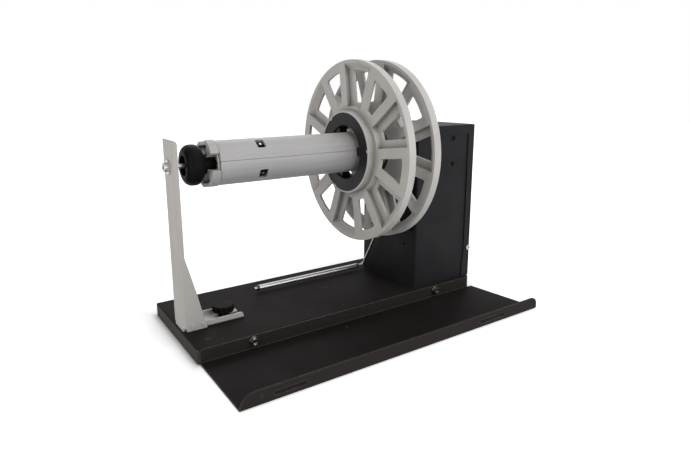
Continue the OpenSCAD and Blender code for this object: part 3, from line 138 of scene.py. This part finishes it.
class Shader:
    """A material's node tree with short calls for the nodes that the finishes share."""

    def __init__(self, name):
        self.mat = bpy.data.materials.new(name)
        self.mat.use_nodes = True
        self.tree = self.mat.node_tree
        self.tree.nodes.clear()
        self.out = self.add("OutputMaterial")
        self.skin = self.add("BsdfPrincipled")
        self.link(self.skin, "BSDF", self.out, "Surface")
        self.place = self.add("TexCoord")

    def add(self, kind, values=None):
        return new_node(self.tree, kind, values)

    def link(self, a, a_out, b, b_in):
        self.tree.links.new(a.outputs[a_out], b.inputs[b_in])

    def noise(self, scale, detail=3.0, stretch=(1, 1, 1)):
        """Noise in object space; a stretch below 1 draws it out along that axis."""
        mapping = self.add("Mapping", {"Scale": stretch})
        self.link(self.place, "Object", mapping, "Vector")
        node = self.add("TexNoise", {"Scale": scale, "Detail": detail, "Roughness": NOISE_ROUGHNESS})
        self.link(mapping, "Vector", node, "Vector")
        return node

    def spread(self, node, low, high, out="Fac", start=0.3, stop=0.7):
        """Maps the range from start to stop of an output to low..high."""
        ends = {"From Min": start, "From Max": stop, "To Min": low, "To Max": high}
        mapped = self.add("MapRange", ends)
        self.link(node, out, mapped, "Value")
        return mapped

    def shades(self, node, dark, light, out="Fac", start=0.3, stop=0.7):
        """Colours from dark to light over the range from start to stop of an output."""
        ramp = self.add("ValToRGB")
        ends = ramp.color_ramp.elements
        ends[0].position = start
        ends[0].color = dark
        ends[1].position = stop
        ends[1].color = light
        self.link(node, out, ramp, "Fac")
        return ramp

    def mix(self, share, first, second, mode="MIX"):
        """Mixes two colours, each a plain colour or a node, by a value node's share of the second."""
        node = self.add("Mix")
        node.data_type = "RGBA"
        node.blend_type = mode
        self.tree.links.new(share.outputs[0], node.inputs[MIX_FACTOR])
        for colour, socket in ((first, node.inputs[MIX_A]), (second, node.inputs[MIX_B])):
            if isinstance(colour, tuple):
                socket.default_value = colour
            else:
                self.tree.links.new(colour_out(colour), socket)
        return node

    def relief(self, node, depth, strength, below=None):
        """Bump of a texture, on top of another bump or of the rounded edges."""
        bump = self.add("Bump", {"Strength": strength, "Distance": depth})
        self.link(node, "Fac", bump, "Height")
        if below is not None:
            self.link(below, "Normal", bump, "Normal")
        return bump

    def round_edges(self, radius):
        """Normals that turn smoothly round each edge, as a bend, a spray coat or a mould leaves it."""
        self.edges = self.add("Bevel", {"Radius": radius})
        return self.edges

    def wear_and_highlight_edges(self, colour, edge_wear_and_highlight):
        """The colour with the rounded edges in the edge colour, broken up by noise, or as it is; the edge
        colour is partly wear and partly a painted highlight along the edges.
        """
        if edge_wear_and_highlight is None:
            return colour
        turn = self.add("VectorMath")
        turn.operation = "DOT_PRODUCT"
        self.link(self.edges, "Normal", turn, 0)
        self.link(self.add("NewGeometry"), "True Normal", turn, 1)
        edge = self.spread(turn, 1.0, 0.0, out="Value", start=0.9, stop=0.995)
        grain = self.spread(self.noise(scale=500), 0.35, 1.0)
        share = math_node(self.tree, "MULTIPLY", edge.outputs["Result"], grain.outputs["Result"])
        return self.mix(share, colour, edge_wear_and_highlight)

    def upright_shading_share(self):
        """One on upright faces and zero on level ones, the share of the painted light and shade on upright
        faces.
        """
        split = self.add("SeparateXYZ")
        self.link(self.add("NewGeometry"), "True Normal", split, "Vector")
        height = math_node(self.tree, "ABSOLUTE", split.outputs["Z"])
        return self.spread(height, 1.0, 0.0, out="Value", start=0.2, stop=0.7)

    def open_faces(self, reach):
        """Zero in corners and grooves within reach, one on open faces, by ambient occlusion: the mask of the
        painted shade in hollows.
        """
        near = self.add("AmbientOcclusion", {"Distance": reach})
        return self.spread(near, 0.0, 1.0, out="AO", start=0.3, stop=0.95)

    def finish(self, colour, rough, normal, metallic=0.0, coat=0.0, specular=0.5):
        """Joins colour, roughness and bump to the surface, and gives the material."""
        sockets = self.skin.inputs
        sockets["Metallic"].default_value = metallic
        sockets["Specular IOR Level"].default_value = specular
        sockets["Coat Weight"].default_value = coat
        sockets["Coat Roughness"].default_value = COAT_ROUGHNESS
        self.tree.links.new(colour_out(colour), sockets["Base Color"])
        self.link(rough, "Result", self.skin, "Roughness")
        self.link(normal, "Normal", self.skin, "Normal")
        return self.mat


# Kinds of finish

# Widest groove that gets painted shade
GROOVE_SHADE_REACH = 10 * MM
# Scale of the noise along the lines of drawn metal, as a share of the scale across them
DRAWN_SHARE = 0.02


def powder_coat(name, dark, light, rough=(0.55, 0.7), grain=1500, depth=0.06 * MM, edge_wear_and_highlight=None, specular=0.3,
                edge=0.5 * MM, upright=None):
    """Sprayed powder coat: an orange-peel skin over faint clouds, with painted light and shade on upright
    faces in another colour.
    """
    s = Shader(name)
    soft = s.round_edges(edge)
    clouds = s.shades(s.noise(scale=14, detail=4), dark, light)
    fine = s.noise(grain)
    speck = s.shades(fine, grey(0.8), grey(1))
    colour = s.mix(s.spread(s.noise(scale=60, detail=2), 0.3, 0.6), clouds, speck, mode="MULTIPLY")
    # Upright faces take another colour, lighter or darker than level ones: painted light and shade.
    if upright is not None:
        colour = s.mix(s.upright_shading_share(), colour, upright)
    # Lighter rounded edges: partly wear, partly a painted highlight.
    colour = s.wear_and_highlight_edges(colour, edge_wear_and_highlight)
    peel = s.relief(s.noise(grain / 3, detail=2), depth, strength=0.35, below=soft)
    normal = s.relief(fine, depth / 2, strength=0.3, below=peel)
    return s.finish(colour, s.spread(s.noise(scale=25, detail=4), *rough), normal, specular=specular)


def moulded(name, dark, light, rough=(0.5, 0.65), edge_wear_and_highlight=None, specular=0.4, edge=0.4 * MM, groove_shade=None):
    """Moulded plastic: an even colour with slight flow clouds, a spark-eroded skin and painted shade in its
    grooves.
    """
    s = Shader(name)
    soft = s.round_edges(edge)
    colour = s.shades(s.noise(scale=22, detail=5), dark, light)
    # Painted shade: a darker colour in corners and grooves, found by ambient occlusion.
    if groove_shade is not None:
        colour = s.mix(s.open_faces(GROOVE_SHADE_REACH), groove_shade, colour)
    # Lighter rounded edges: partly wear, partly a painted highlight.
    colour = s.wear_and_highlight_edges(colour, edge_wear_and_highlight)
    skin = s.relief(s.noise(scale=1800), depth=0.04 * MM, strength=0.35, below=soft)
    wave = s.relief(s.noise(scale=90, detail=2), depth=0.12 * MM, strength=0.12, below=skin)
    return s.finish(colour, s.spread(s.noise(scale=40, detail=4), *rough), wave, specular=specular)


def drawn_metal(name, dark, light, rough, metallic=1.0, depth=0.02 * MM, streaks=420, edge=0.25 * MM,
                edge_wear_and_highlight=None):
    """Metal with fine lines along the spindle, and soft handling marks."""
    s = Shader(name)
    soft = s.round_edges(edge)
    lines = s.noise(streaks, detail=4, stretch=(DRAWN_SHARE, 1, 1))
    marks = s.noise(scale=35, detail=5)
    colour = s.mix(s.spread(marks, 0.1, 0.5), s.shades(lines, dark, light), s.shades(marks, dark, light))
    # Lighter rounded edges: partly wear, partly a painted highlight.
    colour = s.wear_and_highlight_edges(colour, edge_wear_and_highlight)
    normal = s.relief(lines, depth, strength=0.4, below=soft)
    return s.finish(colour, s.spread(lines, *rough), normal, metallic=metallic)


def turned_metal(name, dark, light, rough=(0.22, 0.36), metallic=1.0, edge=0.15 * MM):
    """Turned or plated metal with a fine tool grain and slight tarnish."""
    s = Shader(name)
    soft = s.round_edges(edge)
    tarnish = s.noise(scale=70, detail=5)
    normal = s.relief(s.noise(scale=2600, detail=2), depth=0.01 * MM, strength=0.3, below=soft)
    return s.finish(s.shades(tarnish, dark, light), s.spread(tarnish, *rough), normal, metallic=metallic)


def laminate(name, field, other_field, trace):
    """Solder mask with traces showing as fine lines."""
    s = Shader(name)
    bricks = s.add("TexBrick", {"Scale": 160, "Color1": field, "Color2": other_field, "Mortar": trace,
                                "Mortar Size": 0.02})
    upright = s.add("Mapping", {"Rotation": (math.pi / 2, 0, 0)})
    s.link(s.place, "Object", upright, "Vector")
    s.link(upright, "Vector", bricks, "Vector")
    grain = s.noise(scale=900, detail=2)
    normal = s.relief(grain, depth=0.02 * MM, strength=0.2)
    return s.finish(bricks, s.spread(grain, 0.3, 0.45), normal, coat=0.3)


# Floor, background and lamps, in metres

FLOOR_HALF = 3.0
FLOOR_SHADES = (grey(0.80), grey(0.82))
FLOOR_ROUGHNESS = 0.9
FLOOR_SPECULAR = 0.1
# The seen floor is lifted to white: distance outside the base, and strength there
FLOOR_REACH = 0.7
# A weaker lift near the base and none under it keep the floor darker there: painted shade near and under the
# base, on top of its real shadow.
FLOOR_LIFT = ((0.006, 0.33), (0.03, 0.5), (0.3, 0.7))
AMBIENT = 0.27
LAMPS_AIM_AT = Vector((-0.08, 0.0, 0.1))
NEUTRAL, COOL, WARM = (1.0, 1.0, 1.0), (0.94, 0.97, 1.0), (1.0, 0.97, 0.94)
# Name, place, size, watts and tint of each lamp
LAMPS = (
    ("key_top", (0.1, -0.35, 1.15), (1.0, 0.9), 6, NEUTRAL),
    ("front_fill", (0.2, -1.25, 0.28), (0.9, 0.9), 9.6, COOL),
    ("left_fill", (-1.3, -0.3, 0.4), (0.8, 0.9), 6, WARM),
    ("rear_rim", (0.3, 0.9, 0.9), (1.0, 0.5), 4, NEUTRAL),
)


def seen_ray(tree):
    """One for camera, glossy and transmitted rays, so that metal and glass show the background too."""
    rays = new_node(tree, "LightPath").outputs
    first = math_node(tree, "MAXIMUM", rays["Is Camera Ray"], rays["Is Glossy Ray"])
    return math_node(tree, "MAXIMUM", first.outputs[0], rays["Is Transmission Ray"]).outputs[0]


def outside_base(s):
    """How far a point of the floor lies outside the outline of the base, as a share of FLOOR_REACH."""
    lo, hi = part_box("base_pan")
    split = s.add("SeparateXYZ")
    s.link(s.place, "Object", split, "Vector")
    sides = []
    for axis, name in enumerate("XY"):
        off = math_node(s.tree, "SUBTRACT", split.outputs[name], (lo[axis] + hi[axis]) / 2)
        away = math_node(s.tree, "ABSOLUTE", off.outputs[0])
        sides.append(math_node(s.tree, "SUBTRACT", away.outputs[0], (hi[axis] - lo[axis]) / 2))
    far = math_node(s.tree, "MAXIMUM", sides[0].outputs[0], sides[1].outputs[0])
    return math_node(s.tree, "DIVIDE", far.outputs[0], FLOOR_REACH)


def white_floor():
    """Pale floor that the camera sees as white, with the object's shadow kept and deepened near and under
    the base by a weaker lift there, as painted shade.
    """
    s = Shader("studio_floor")
    s.link(s.shades(s.noise(scale=3), *FLOOR_SHADES), "Color", s.skin, "Base Color")
    s.skin.inputs["Roughness"].default_value = FLOOR_ROUGHNESS
    s.skin.inputs["Specular IOR Level"].default_value = FLOOR_SPECULAR
    lift = s.shades(outside_base(s), grey(0), grey(1), out="Value", start=0.0, stop=1.0)
    for reach, level in FLOOR_LIFT:
        lift.color_ramp.elements.new(reach / FLOOR_REACH).color = grey(level)
    glow = s.add("Emission", {"Color": grey(1)})
    power = math_node(s.tree, "MULTIPLY", seen_ray(s.tree), lift.outputs["Color"])
    s.link(power, "Value", glow, "Strength")
    both = s.add("AddShader")
    s.link(s.skin, "BSDF", both, 0)
    s.link(glow, "Emission", both, 1)
    s.link(both, "Shader", s.out, "Surface")
    return s.mat


def make_world():
    """Even light for the object, and a white background where the camera sees past it."""
    world = bpy.data.worlds.new("studio_world")
    bpy.context.scene.world = world
    world.use_nodes = True
    tree = world.node_tree
    tree.nodes.clear()
    out = new_node(tree, "OutputWorld")
    light = new_node(tree, "Background", {"Color": grey(1), "Strength": AMBIENT})
    white = new_node(tree, "Background", {"Color": grey(1)})
    mix = new_node(tree, "MixShader")
    for source, socket in zip((seen_ray(tree), light.outputs[0], white.outputs[0]), mix.inputs):
        tree.links.new(source, socket)
    tree.links.new(mix.outputs[0], out.inputs[0])


def make_floor():
    mesh = bpy.data.meshes.new("studio_floor")
    corners = [(x * FLOOR_HALF, y * FLOOR_HALF, 0) for x, y in ((-1, -1), (1, -1), (1, 1), (-1, 1))]
    mesh.from_pydata(corners, [], [(0, 1, 2, 3)])
    floor = new_object("studio_floor", mesh)
    floor.data.materials.append(white_floor())


def make_lamps():
    for name, place, size, watts, tint in LAMPS:
        data = bpy.data.lights.new(name, "AREA")
        data.shape = "RECTANGLE"
        data.size, data.size_y = size
        data.energy = watts
        data.color = tint
        lamp = new_object(name, data)
        lamp.location = place
        lamp.rotation_euler = (LAMPS_AIM_AT - Vector(place)).to_track_quat("-Z", "Y").to_euler()


# Finishes of the record's material slots, and a few for the nodes listed in FINER

# Edge colours of the finishes are partly wear and partly a painted highlight along bends and edges.
PAINT_EDGE_WEAR_AND_HIGHLIGHT = srgb(120, 112, 100)
# The upright colours are painted light on the base and tray, and painted shade on the arm.
FINISHES = {
    "base_paint": powder_coat(
        "charcoal_powder_base", srgb(25, 22, 22), srgb(32, 28, 28), rough=(0.6, 0.7), edge_wear_and_highlight=PAINT_EDGE_WEAR_AND_HIGHLIGHT,
        specular=0.045, edge=0.7 * MM, upright=srgb(62, 58, 54)),
    "tray_paint": powder_coat(
        "charcoal_powder_tray", srgb(21, 18, 18), srgb(28, 24, 24), rough=(0.55, 0.65), edge_wear_and_highlight=PAINT_EDGE_WEAR_AND_HIGHLIGHT,
        specular=0.045, edge=0.7 * MM, upright=srgb(42, 38, 37)),
    "cabinet_paint": powder_coat(
        "black_powder_cabinet", srgb(15, 14, 17), srgb(20, 19, 22), grain=2000, edge_wear_and_highlight=srgb(62, 61, 64),
        specular=0.16),
    "arm_paint": powder_coat(
        "grey_powder_arm", srgb(182, 178, 174), srgb(192, 188, 184), rough=(0.45, 0.6), grain=1800,
        depth=0.04 * MM, specular=0.4, upright=srgb(167, 163, 159)),
    "motor_paint": powder_coat("black_motor_coat", srgb(30, 30, 32), srgb(42, 42, 44)),
    # The flange's groove colour is painted shade, and its pale edge colour mainly a painted highlight.
    "flange_plastic": moulded(
        "grey_moulded_flange", srgb(174, 171, 168), srgb(189, 186, 182), edge_wear_and_highlight=srgb(228, 226, 223),
        edge=0.5 * MM, groove_shade=srgb(104, 101, 98)),
    "black_plastic": moulded(
        "black_moulded_rings", srgb(20, 18, 19), srgb(28, 26, 27), rough=(0.4, 0.55), specular=0.16),
    "matt_black": moulded(
        "black_moulded_knobs", srgb(12, 11, 12), srgb(18, 16, 17), rough=(0.45, 0.6), edge_wear_and_highlight=srgb(52, 48, 46),
        specular=0.045),
    "blackened": moulded(
        "blackened_heads", srgb(9, 9, 10), srgb(15, 14, 15), rough=(0.5, 0.6), specular=0.05),
    "grey_silicone": moulded(
        "pale_silicone_ring", srgb(150, 147, 142), srgb(164, 161, 156), rough=(0.6, 0.7)),
    "rubber": moulded(
        "black_rubber", srgb(28, 27, 27), srgb(38, 37, 36), rough=(0.7, 0.85), specular=0.25),
    "gear_plastic": moulded(
        "ivory_gear_plastic", srgb(216, 210, 192), srgb(230, 225, 208), rough=(0.4, 0.5)),
    "board_black": moulded("black_epoxy", srgb(24, 24, 25), srgb(36, 36, 37), rough=(0.3, 0.42)),
    "board_laminate": laminate("green_laminate", srgb(22, 78, 44), srgb(17, 66, 38), srgb(45, 112, 66)),
    "jaw_aluminium": drawn_metal(
        "satin_painted_jaws", srgb(149, 147, 146), srgb(163, 161, 160), rough=(0.45, 0.6), metallic=0.0,
        depth=0.05 * MM, streaks=900, edge=0.5 * MM, edge_wear_and_highlight=srgb(206, 205, 202)),
    "bright_steel": drawn_metal("ground_steel", srgb(150, 149, 147), srgb(176, 175, 173), rough=(0.3, 0.42)),
    "zinc_steel": turned_metal("zinc_plate", srgb(160, 160, 158), srgb(190, 189, 184)),
    "dark_nickel": turned_metal(
        "nickel_screws", srgb(112, 108, 102), srgb(156, 152, 146), rough=(0.12, 0.22), edge=0.3 * MM),
    "black_screws": turned_metal(
        "black_oxide", srgb(20, 20, 21), srgb(34, 33, 33), rough=(0.25, 0.4), metallic=0.0),
    "cast_aluminium": turned_metal(
        "turned_aluminium", srgb(166, 167, 169), srgb(194, 195, 197), rough=(0.3, 0.45)),
    "brass": turned_metal("turned_brass", srgb(176, 140, 76), srgb(208, 172, 104)),
}
SLOT_OF = {part["node"]: part["material_slot"] for part in frame["record"]["subparts"]}
# Nodes that look otherwise than the rest of their slot
FINER = {
    "return_ring": "grey_silicone",
    "feet_screws": "base_paint",
    "support_rivets": "arm_paint",
    "tray_screws": "dark_nickel",
    "tray_washers": "dark_nickel",
    "bracket_screws": "blackened",
    "expansion_knob": "matt_black",
    "clamp_knob": "matt_black",
    "wedge_sleeve": "matt_black",
}


def dress(obj, finish_name):
    obj.data.materials.clear()
    obj.data.materials.append(FINISHES[finish_name])


def dress_nodes():
    for name, obj in NODES.items():
        dress(obj, FINER.get(name, SLOT_OF[name]))


# Meshes of the fine pieces


def skin(bm, rings):
    """Closed solid over rings of vertices, with a flat face at each end."""
    count = len(rings[0])
    for low, high in zip(rings, rings[1:]):
        for j in range(count):
            bm.faces.new((low[j], low[(j + 1) % count], high[(j + 1) % count], high[j]))
    bm.faces.new(rings[0][::-1])
    bm.faces.new(rings[-1])


def outward(bm):
    """Turns every face to the outside of its solid."""
    bmesh.ops.recalc_face_normals(bm, faces=bm.faces)


def object_of(name, bm):
    """An object that takes over the bmesh."""
    obj = new_object(name, bpy.data.meshes.new(name))
    bm.to_mesh(obj.data)
    bm.free()
    return obj


def new_piece(name, bm, body, slot_name):
    """A smooth-shaded piece that rides on a body."""
    obj = object_of(name, bm)
    for face in obj.data.polygons:
        face.use_smooth = True
    dress(obj, slot_name)
    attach(obj, body)
    return obj


def cut(solid_bm, cutter_bm):
    """The first solid less the second, as a new bmesh."""
    outward(solid_bm)
    outward(cutter_bm)
    solid = object_of("cut_solid", solid_bm)
    cutter = object_of("cut_tool", cutter_bm)
    less = solid.modifiers.new("less", "BOOLEAN")
    less.operation = "DIFFERENCE"
    less.solver = "EXACT"
    less.object = cutter
    result = bmesh.new()
    result.from_object(solid, bpy.context.evaluated_depsgraph_get())
    for obj in (solid, cutter):
        mesh = obj.data
        bpy.data.objects.remove(obj)
        bpy.data.meshes.remove(mesh)
    return result


def take_in(bm, other):
    """Adds the faces of another bmesh, which is freed."""
    mesh = bpy.data.meshes.new("passing")
    other.to_mesh(mesh)
    other.free()
    bm.from_mesh(mesh)
    bpy.data.meshes.remove(mesh)


# Torsion spring of the dancer, wound in the space of its plain sleeve

WIRE_R = 0.45 * MM
WIRE_SIDES = 10
SPRING_TURNS = 7
STEPS_PER_TURN = 30


def tube(bm, points, radius, sides):
    """Sweeps a round section along points, with flat ends."""
    rings = []
    normal = None
    for k, p in enumerate(points):
        ahead = points[min(k + 1, len(points) - 1)] - points[max(k - 1, 0)]
        ahead.normalize()
        if normal is None:
            normal = ahead.orthogonal().normalized()
        normal = (normal - ahead * normal.dot(ahead)).normalized()
        side = ahead.cross(normal)
        ring = []
        for j in range(sides):
            a = 2 * math.pi * j / sides
            ring.append(bm.verts.new(p + radius * (math.cos(a) * normal + math.sin(a) * side)))
        rings.append(ring)
    skin(bm, rings)


def coil_spring():
    lo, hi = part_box("dancer_spring")
    mid = (lo + hi) / 2
    radius = (hi.y - lo.y) / 2 - 2 * WIRE_R
    left, right = lo.x + WIRE_R, hi.x - WIRE_R
    steps = STEPS_PER_TURN * SPRING_TURNS
    points = []
    for k in range(steps + 1):
        a = 2 * math.pi * k / STEPS_PER_TURN
        x = left + (right - left) * k / steps
        points.append(Vector((x, mid.y - radius * math.cos(a), mid.z + radius * math.sin(a))))
    bm = bmesh.new()
    tube(bm, points, WIRE_R, WIRE_SIDES)
    spring = new_piece("dancer_coil_spring", bm, "root", "zinc_steel")
    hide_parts("dancer_spring")


# Expanding jaws, with narrow lugs in front of a pale end wall and half-lapped seams

KNOB_LOW, KNOB_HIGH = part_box("expansion_knob")
SPINDLE_Z = (KNOB_LOW.z + KNOB_HIGH.z) / 2
JAW_COUNT = 4
FIRST_JAW_AT = math.radians(35)
# Shell: ends, radii, end wall and the chamfer of its free rim
SHELL_LEFT, SHELL_RIGHT = -191.5 * MM, -6.5 * MM
SHELL_R, SHELL_IN_R = 19.15 * MM, 16.65 * MM
END_WALL, WALL_BORE_R = 4 * MM, 8.7 * MM
RIM_CHAMFER = 0.6 * MM
# Seam: gap, tongue under the next jaw's outer strip, recess for it, radius between them and their slack
SEAM_GAP = 0.5 * MM
TONGUE, RECESS, LAP_R = 0.7 * MM, 1.0 * MM, 18.4 * MM
LAP_SLACK = 0.15 * MM
# Lug: length past the shell, radii, half angle, ramp and overlap at its root, notch at each side
LUG_LEN, LUG_R, LUG_IN_R = 8 * MM, 20.9 * MM, 17.5 * MM
LUG_HALF = math.radians(24.5)
LUG_RAMP, LUG_ROOT = 0.9 * MM, 0.3 * MM
NOTCH_R, NOTCH_OUT = 0.9 * MM, 0.5 * MM
# Rib under the lug: half angle, and the groove of the return ring
RIB_HALF = math.radians(10)
RING_GROOVE_R, RING_GROOVE = 15.1 * MM, 2.3 * MM
WINDOW_W, WINDOW_LEN, WINDOW_CORNER = 10.2 * MM, 8 * MM, 1.2 * MM
WINDOW_PLACES = (-152 * MM, -25.5 * MM)
# How far cutters reach past what they cut, and into the shell
CUT_OVER, CUT_INTO = 1 * MM, 4 * MM
SHELL_STEPS, SEAM_STEPS, LUG_STEPS, RIB_STEPS, CORNER_STEPS = 40, 2, 16, 6, 5
SHARP_ANGLE = math.radians(30)


def spoke(a):
    """Direction away from the spindle at an angle from the top towards the front."""
    return Vector((0, -math.sin(a), math.cos(a)))


def at_spindle(x, r, a):
    return Vector((x, 0, SPINDLE_Z)) + r * spoke(a)


def lathe(bm, section, start, stop, steps):
    """Solid of a closed (radius, x) section turned about the spindle from start to stop."""
    rings = []
    for k in range(steps + 1):
        a = start + (stop - start) * k / steps
        rings.append([bm.verts.new(at_spindle(x, r, a)) for r, x in section])
    skin(bm, rings)


def radial_prism(bm, outline, x, a, r_low, r_high):
    """Solid of an outline of (along x, across) points drawn out along a spoke."""
    across = Vector((1, 0, 0)).cross(spoke(a))
    rings = []
    for r in (r_low, r_high):
        rings.append([bm.verts.new(at_spindle(x + u, r, a) + v * across) for u, v in outline])
    skin(bm, rings)


def rounded_outline(length, width, corner):
    points = []
    for k, (su, sv) in enumerate(((1, 1), (-1, 1), (-1, -1), (1, -1))):
        for j in range(CORNER_STEPS + 1):
            a = math.pi / 2 * (k + j / CORNER_STEPS)
            points.append((su * (length / 2 - corner) + corner * math.cos(a),
                           sv * (width / 2 - corner) + corner * math.sin(a)))
    return points


def jaw_shell(a, half):
    """Tube quarter with its end wall and windows, short of one seam by the recess."""
    x = SHELL_LEFT
    shell = bmesh.new()
    lathe(shell, [(WALL_BORE_R, x), (SHELL_R - RIM_CHAMFER, x), (SHELL_R, x + RIM_CHAMFER),
                  (SHELL_R, SHELL_RIGHT), (SHELL_IN_R, SHELL_RIGHT), (SHELL_IN_R, x + END_WALL),
                  (WALL_BORE_R, x + END_WALL)], a - half + RECESS / SHELL_R, a + half, SHELL_STEPS)
    windows = bmesh.new()
    outline = rounded_outline(WINDOW_LEN, WINDOW_W, WINDOW_CORNER)
    for place in WINDOW_PLACES:
        radial_prism(windows, outline, place, a, SHELL_IN_R - CUT_INTO, SHELL_R + CUT_OVER)
    return cut(shell, windows)


def seam_strips(bm, a, half):
    """Outer strip over the recess of one seam, and the tongue that enters the next jaw's recess."""
    x = SHELL_LEFT
    lathe(bm, [(LAP_R, x), (SHELL_R - RIM_CHAMFER, x), (SHELL_R, x + RIM_CHAMFER), (SHELL_R, SHELL_RIGHT),
               (LAP_R, SHELL_RIGHT)], a - half, a - half + RECESS / SHELL_R, SEAM_STEPS)
    x += LAP_SLACK
    tongue_r = LAP_R - LAP_SLACK
    lathe(bm, [(SHELL_IN_R, x), (tongue_r, x), (tongue_r, SHELL_RIGHT), (SHELL_IN_R, SHELL_RIGHT)],
          a + half, a + half + TONGUE / SHELL_R, SEAM_STEPS)


def jaw_lug(a):
    """Raised lug past the shell's free end, with a round notch at each side of its root."""
    x = SHELL_LEFT
    lug = bmesh.new()
    lathe(lug, [(LUG_IN_R, x - LUG_LEN), (LUG_R, x - LUG_LEN), (LUG_R, x - LUG_RAMP), (LAP_R, x - LUG_ROOT),
                (LAP_R, x + LUG_ROOT), (LUG_IN_R, x + LUG_ROOT)], a - LUG_HALF, a + LUG_HALF, LUG_STEPS)
    notches = bmesh.new()
    outline = rounded_outline(2 * NOTCH_R, 2 * NOTCH_R, NOTCH_R)
    for side in (-1, 1):
        radial_prism(notches, outline, x - NOTCH_OUT, a + side * LUG_HALF, LUG_IN_R - CUT_OVER,
                     LUG_R + CUT_OVER)
    return cut(lug, notches)


def jaw_rib(bm, a):
    """Narrow rib under the lug, stepped down for the return ring."""
    x = SHELL_LEFT
    lathe(bm, [(WALL_BORE_R, x - LUG_LEN), (LUG_IN_R, x - LUG_LEN), (LUG_IN_R, x - RING_GROOVE),
               (RING_GROOVE_R, x - RING_GROOVE), (RING_GROOVE_R, x), (WALL_BORE_R, x)],
          a - RIB_HALF, a + RIB_HALF, RIB_STEPS)


def jaw(name, a):
    """One jaw in place of its node, on the body that has the node's name."""
    half = math.pi / JAW_COUNT - SEAM_GAP / 2 / SHELL_R
    bm = jaw_shell(a, half)
    seam_strips(bm, a, half)
    take_in(bm, jaw_lug(a))
    jaw_rib(bm, a)
    outward(bm)
    piece = new_piece(name + "_shell", bm, name, "jaw_aluminium")
    piece.data.set_sharp_from_angle(angle=SHARP_ANGLE)
    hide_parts(name)


make_camera()
make_world()
make_floor()
make_lamps()
bpy.context.scene.view_settings.view_transform = "Standard"
dress_nodes()
coil_spring()
for number in range(JAW_COUNT):
    jaw("jaw_%d" % (number + 1), FIRST_JAW_AT + number * 2 * math.pi / JAW_COUNT)
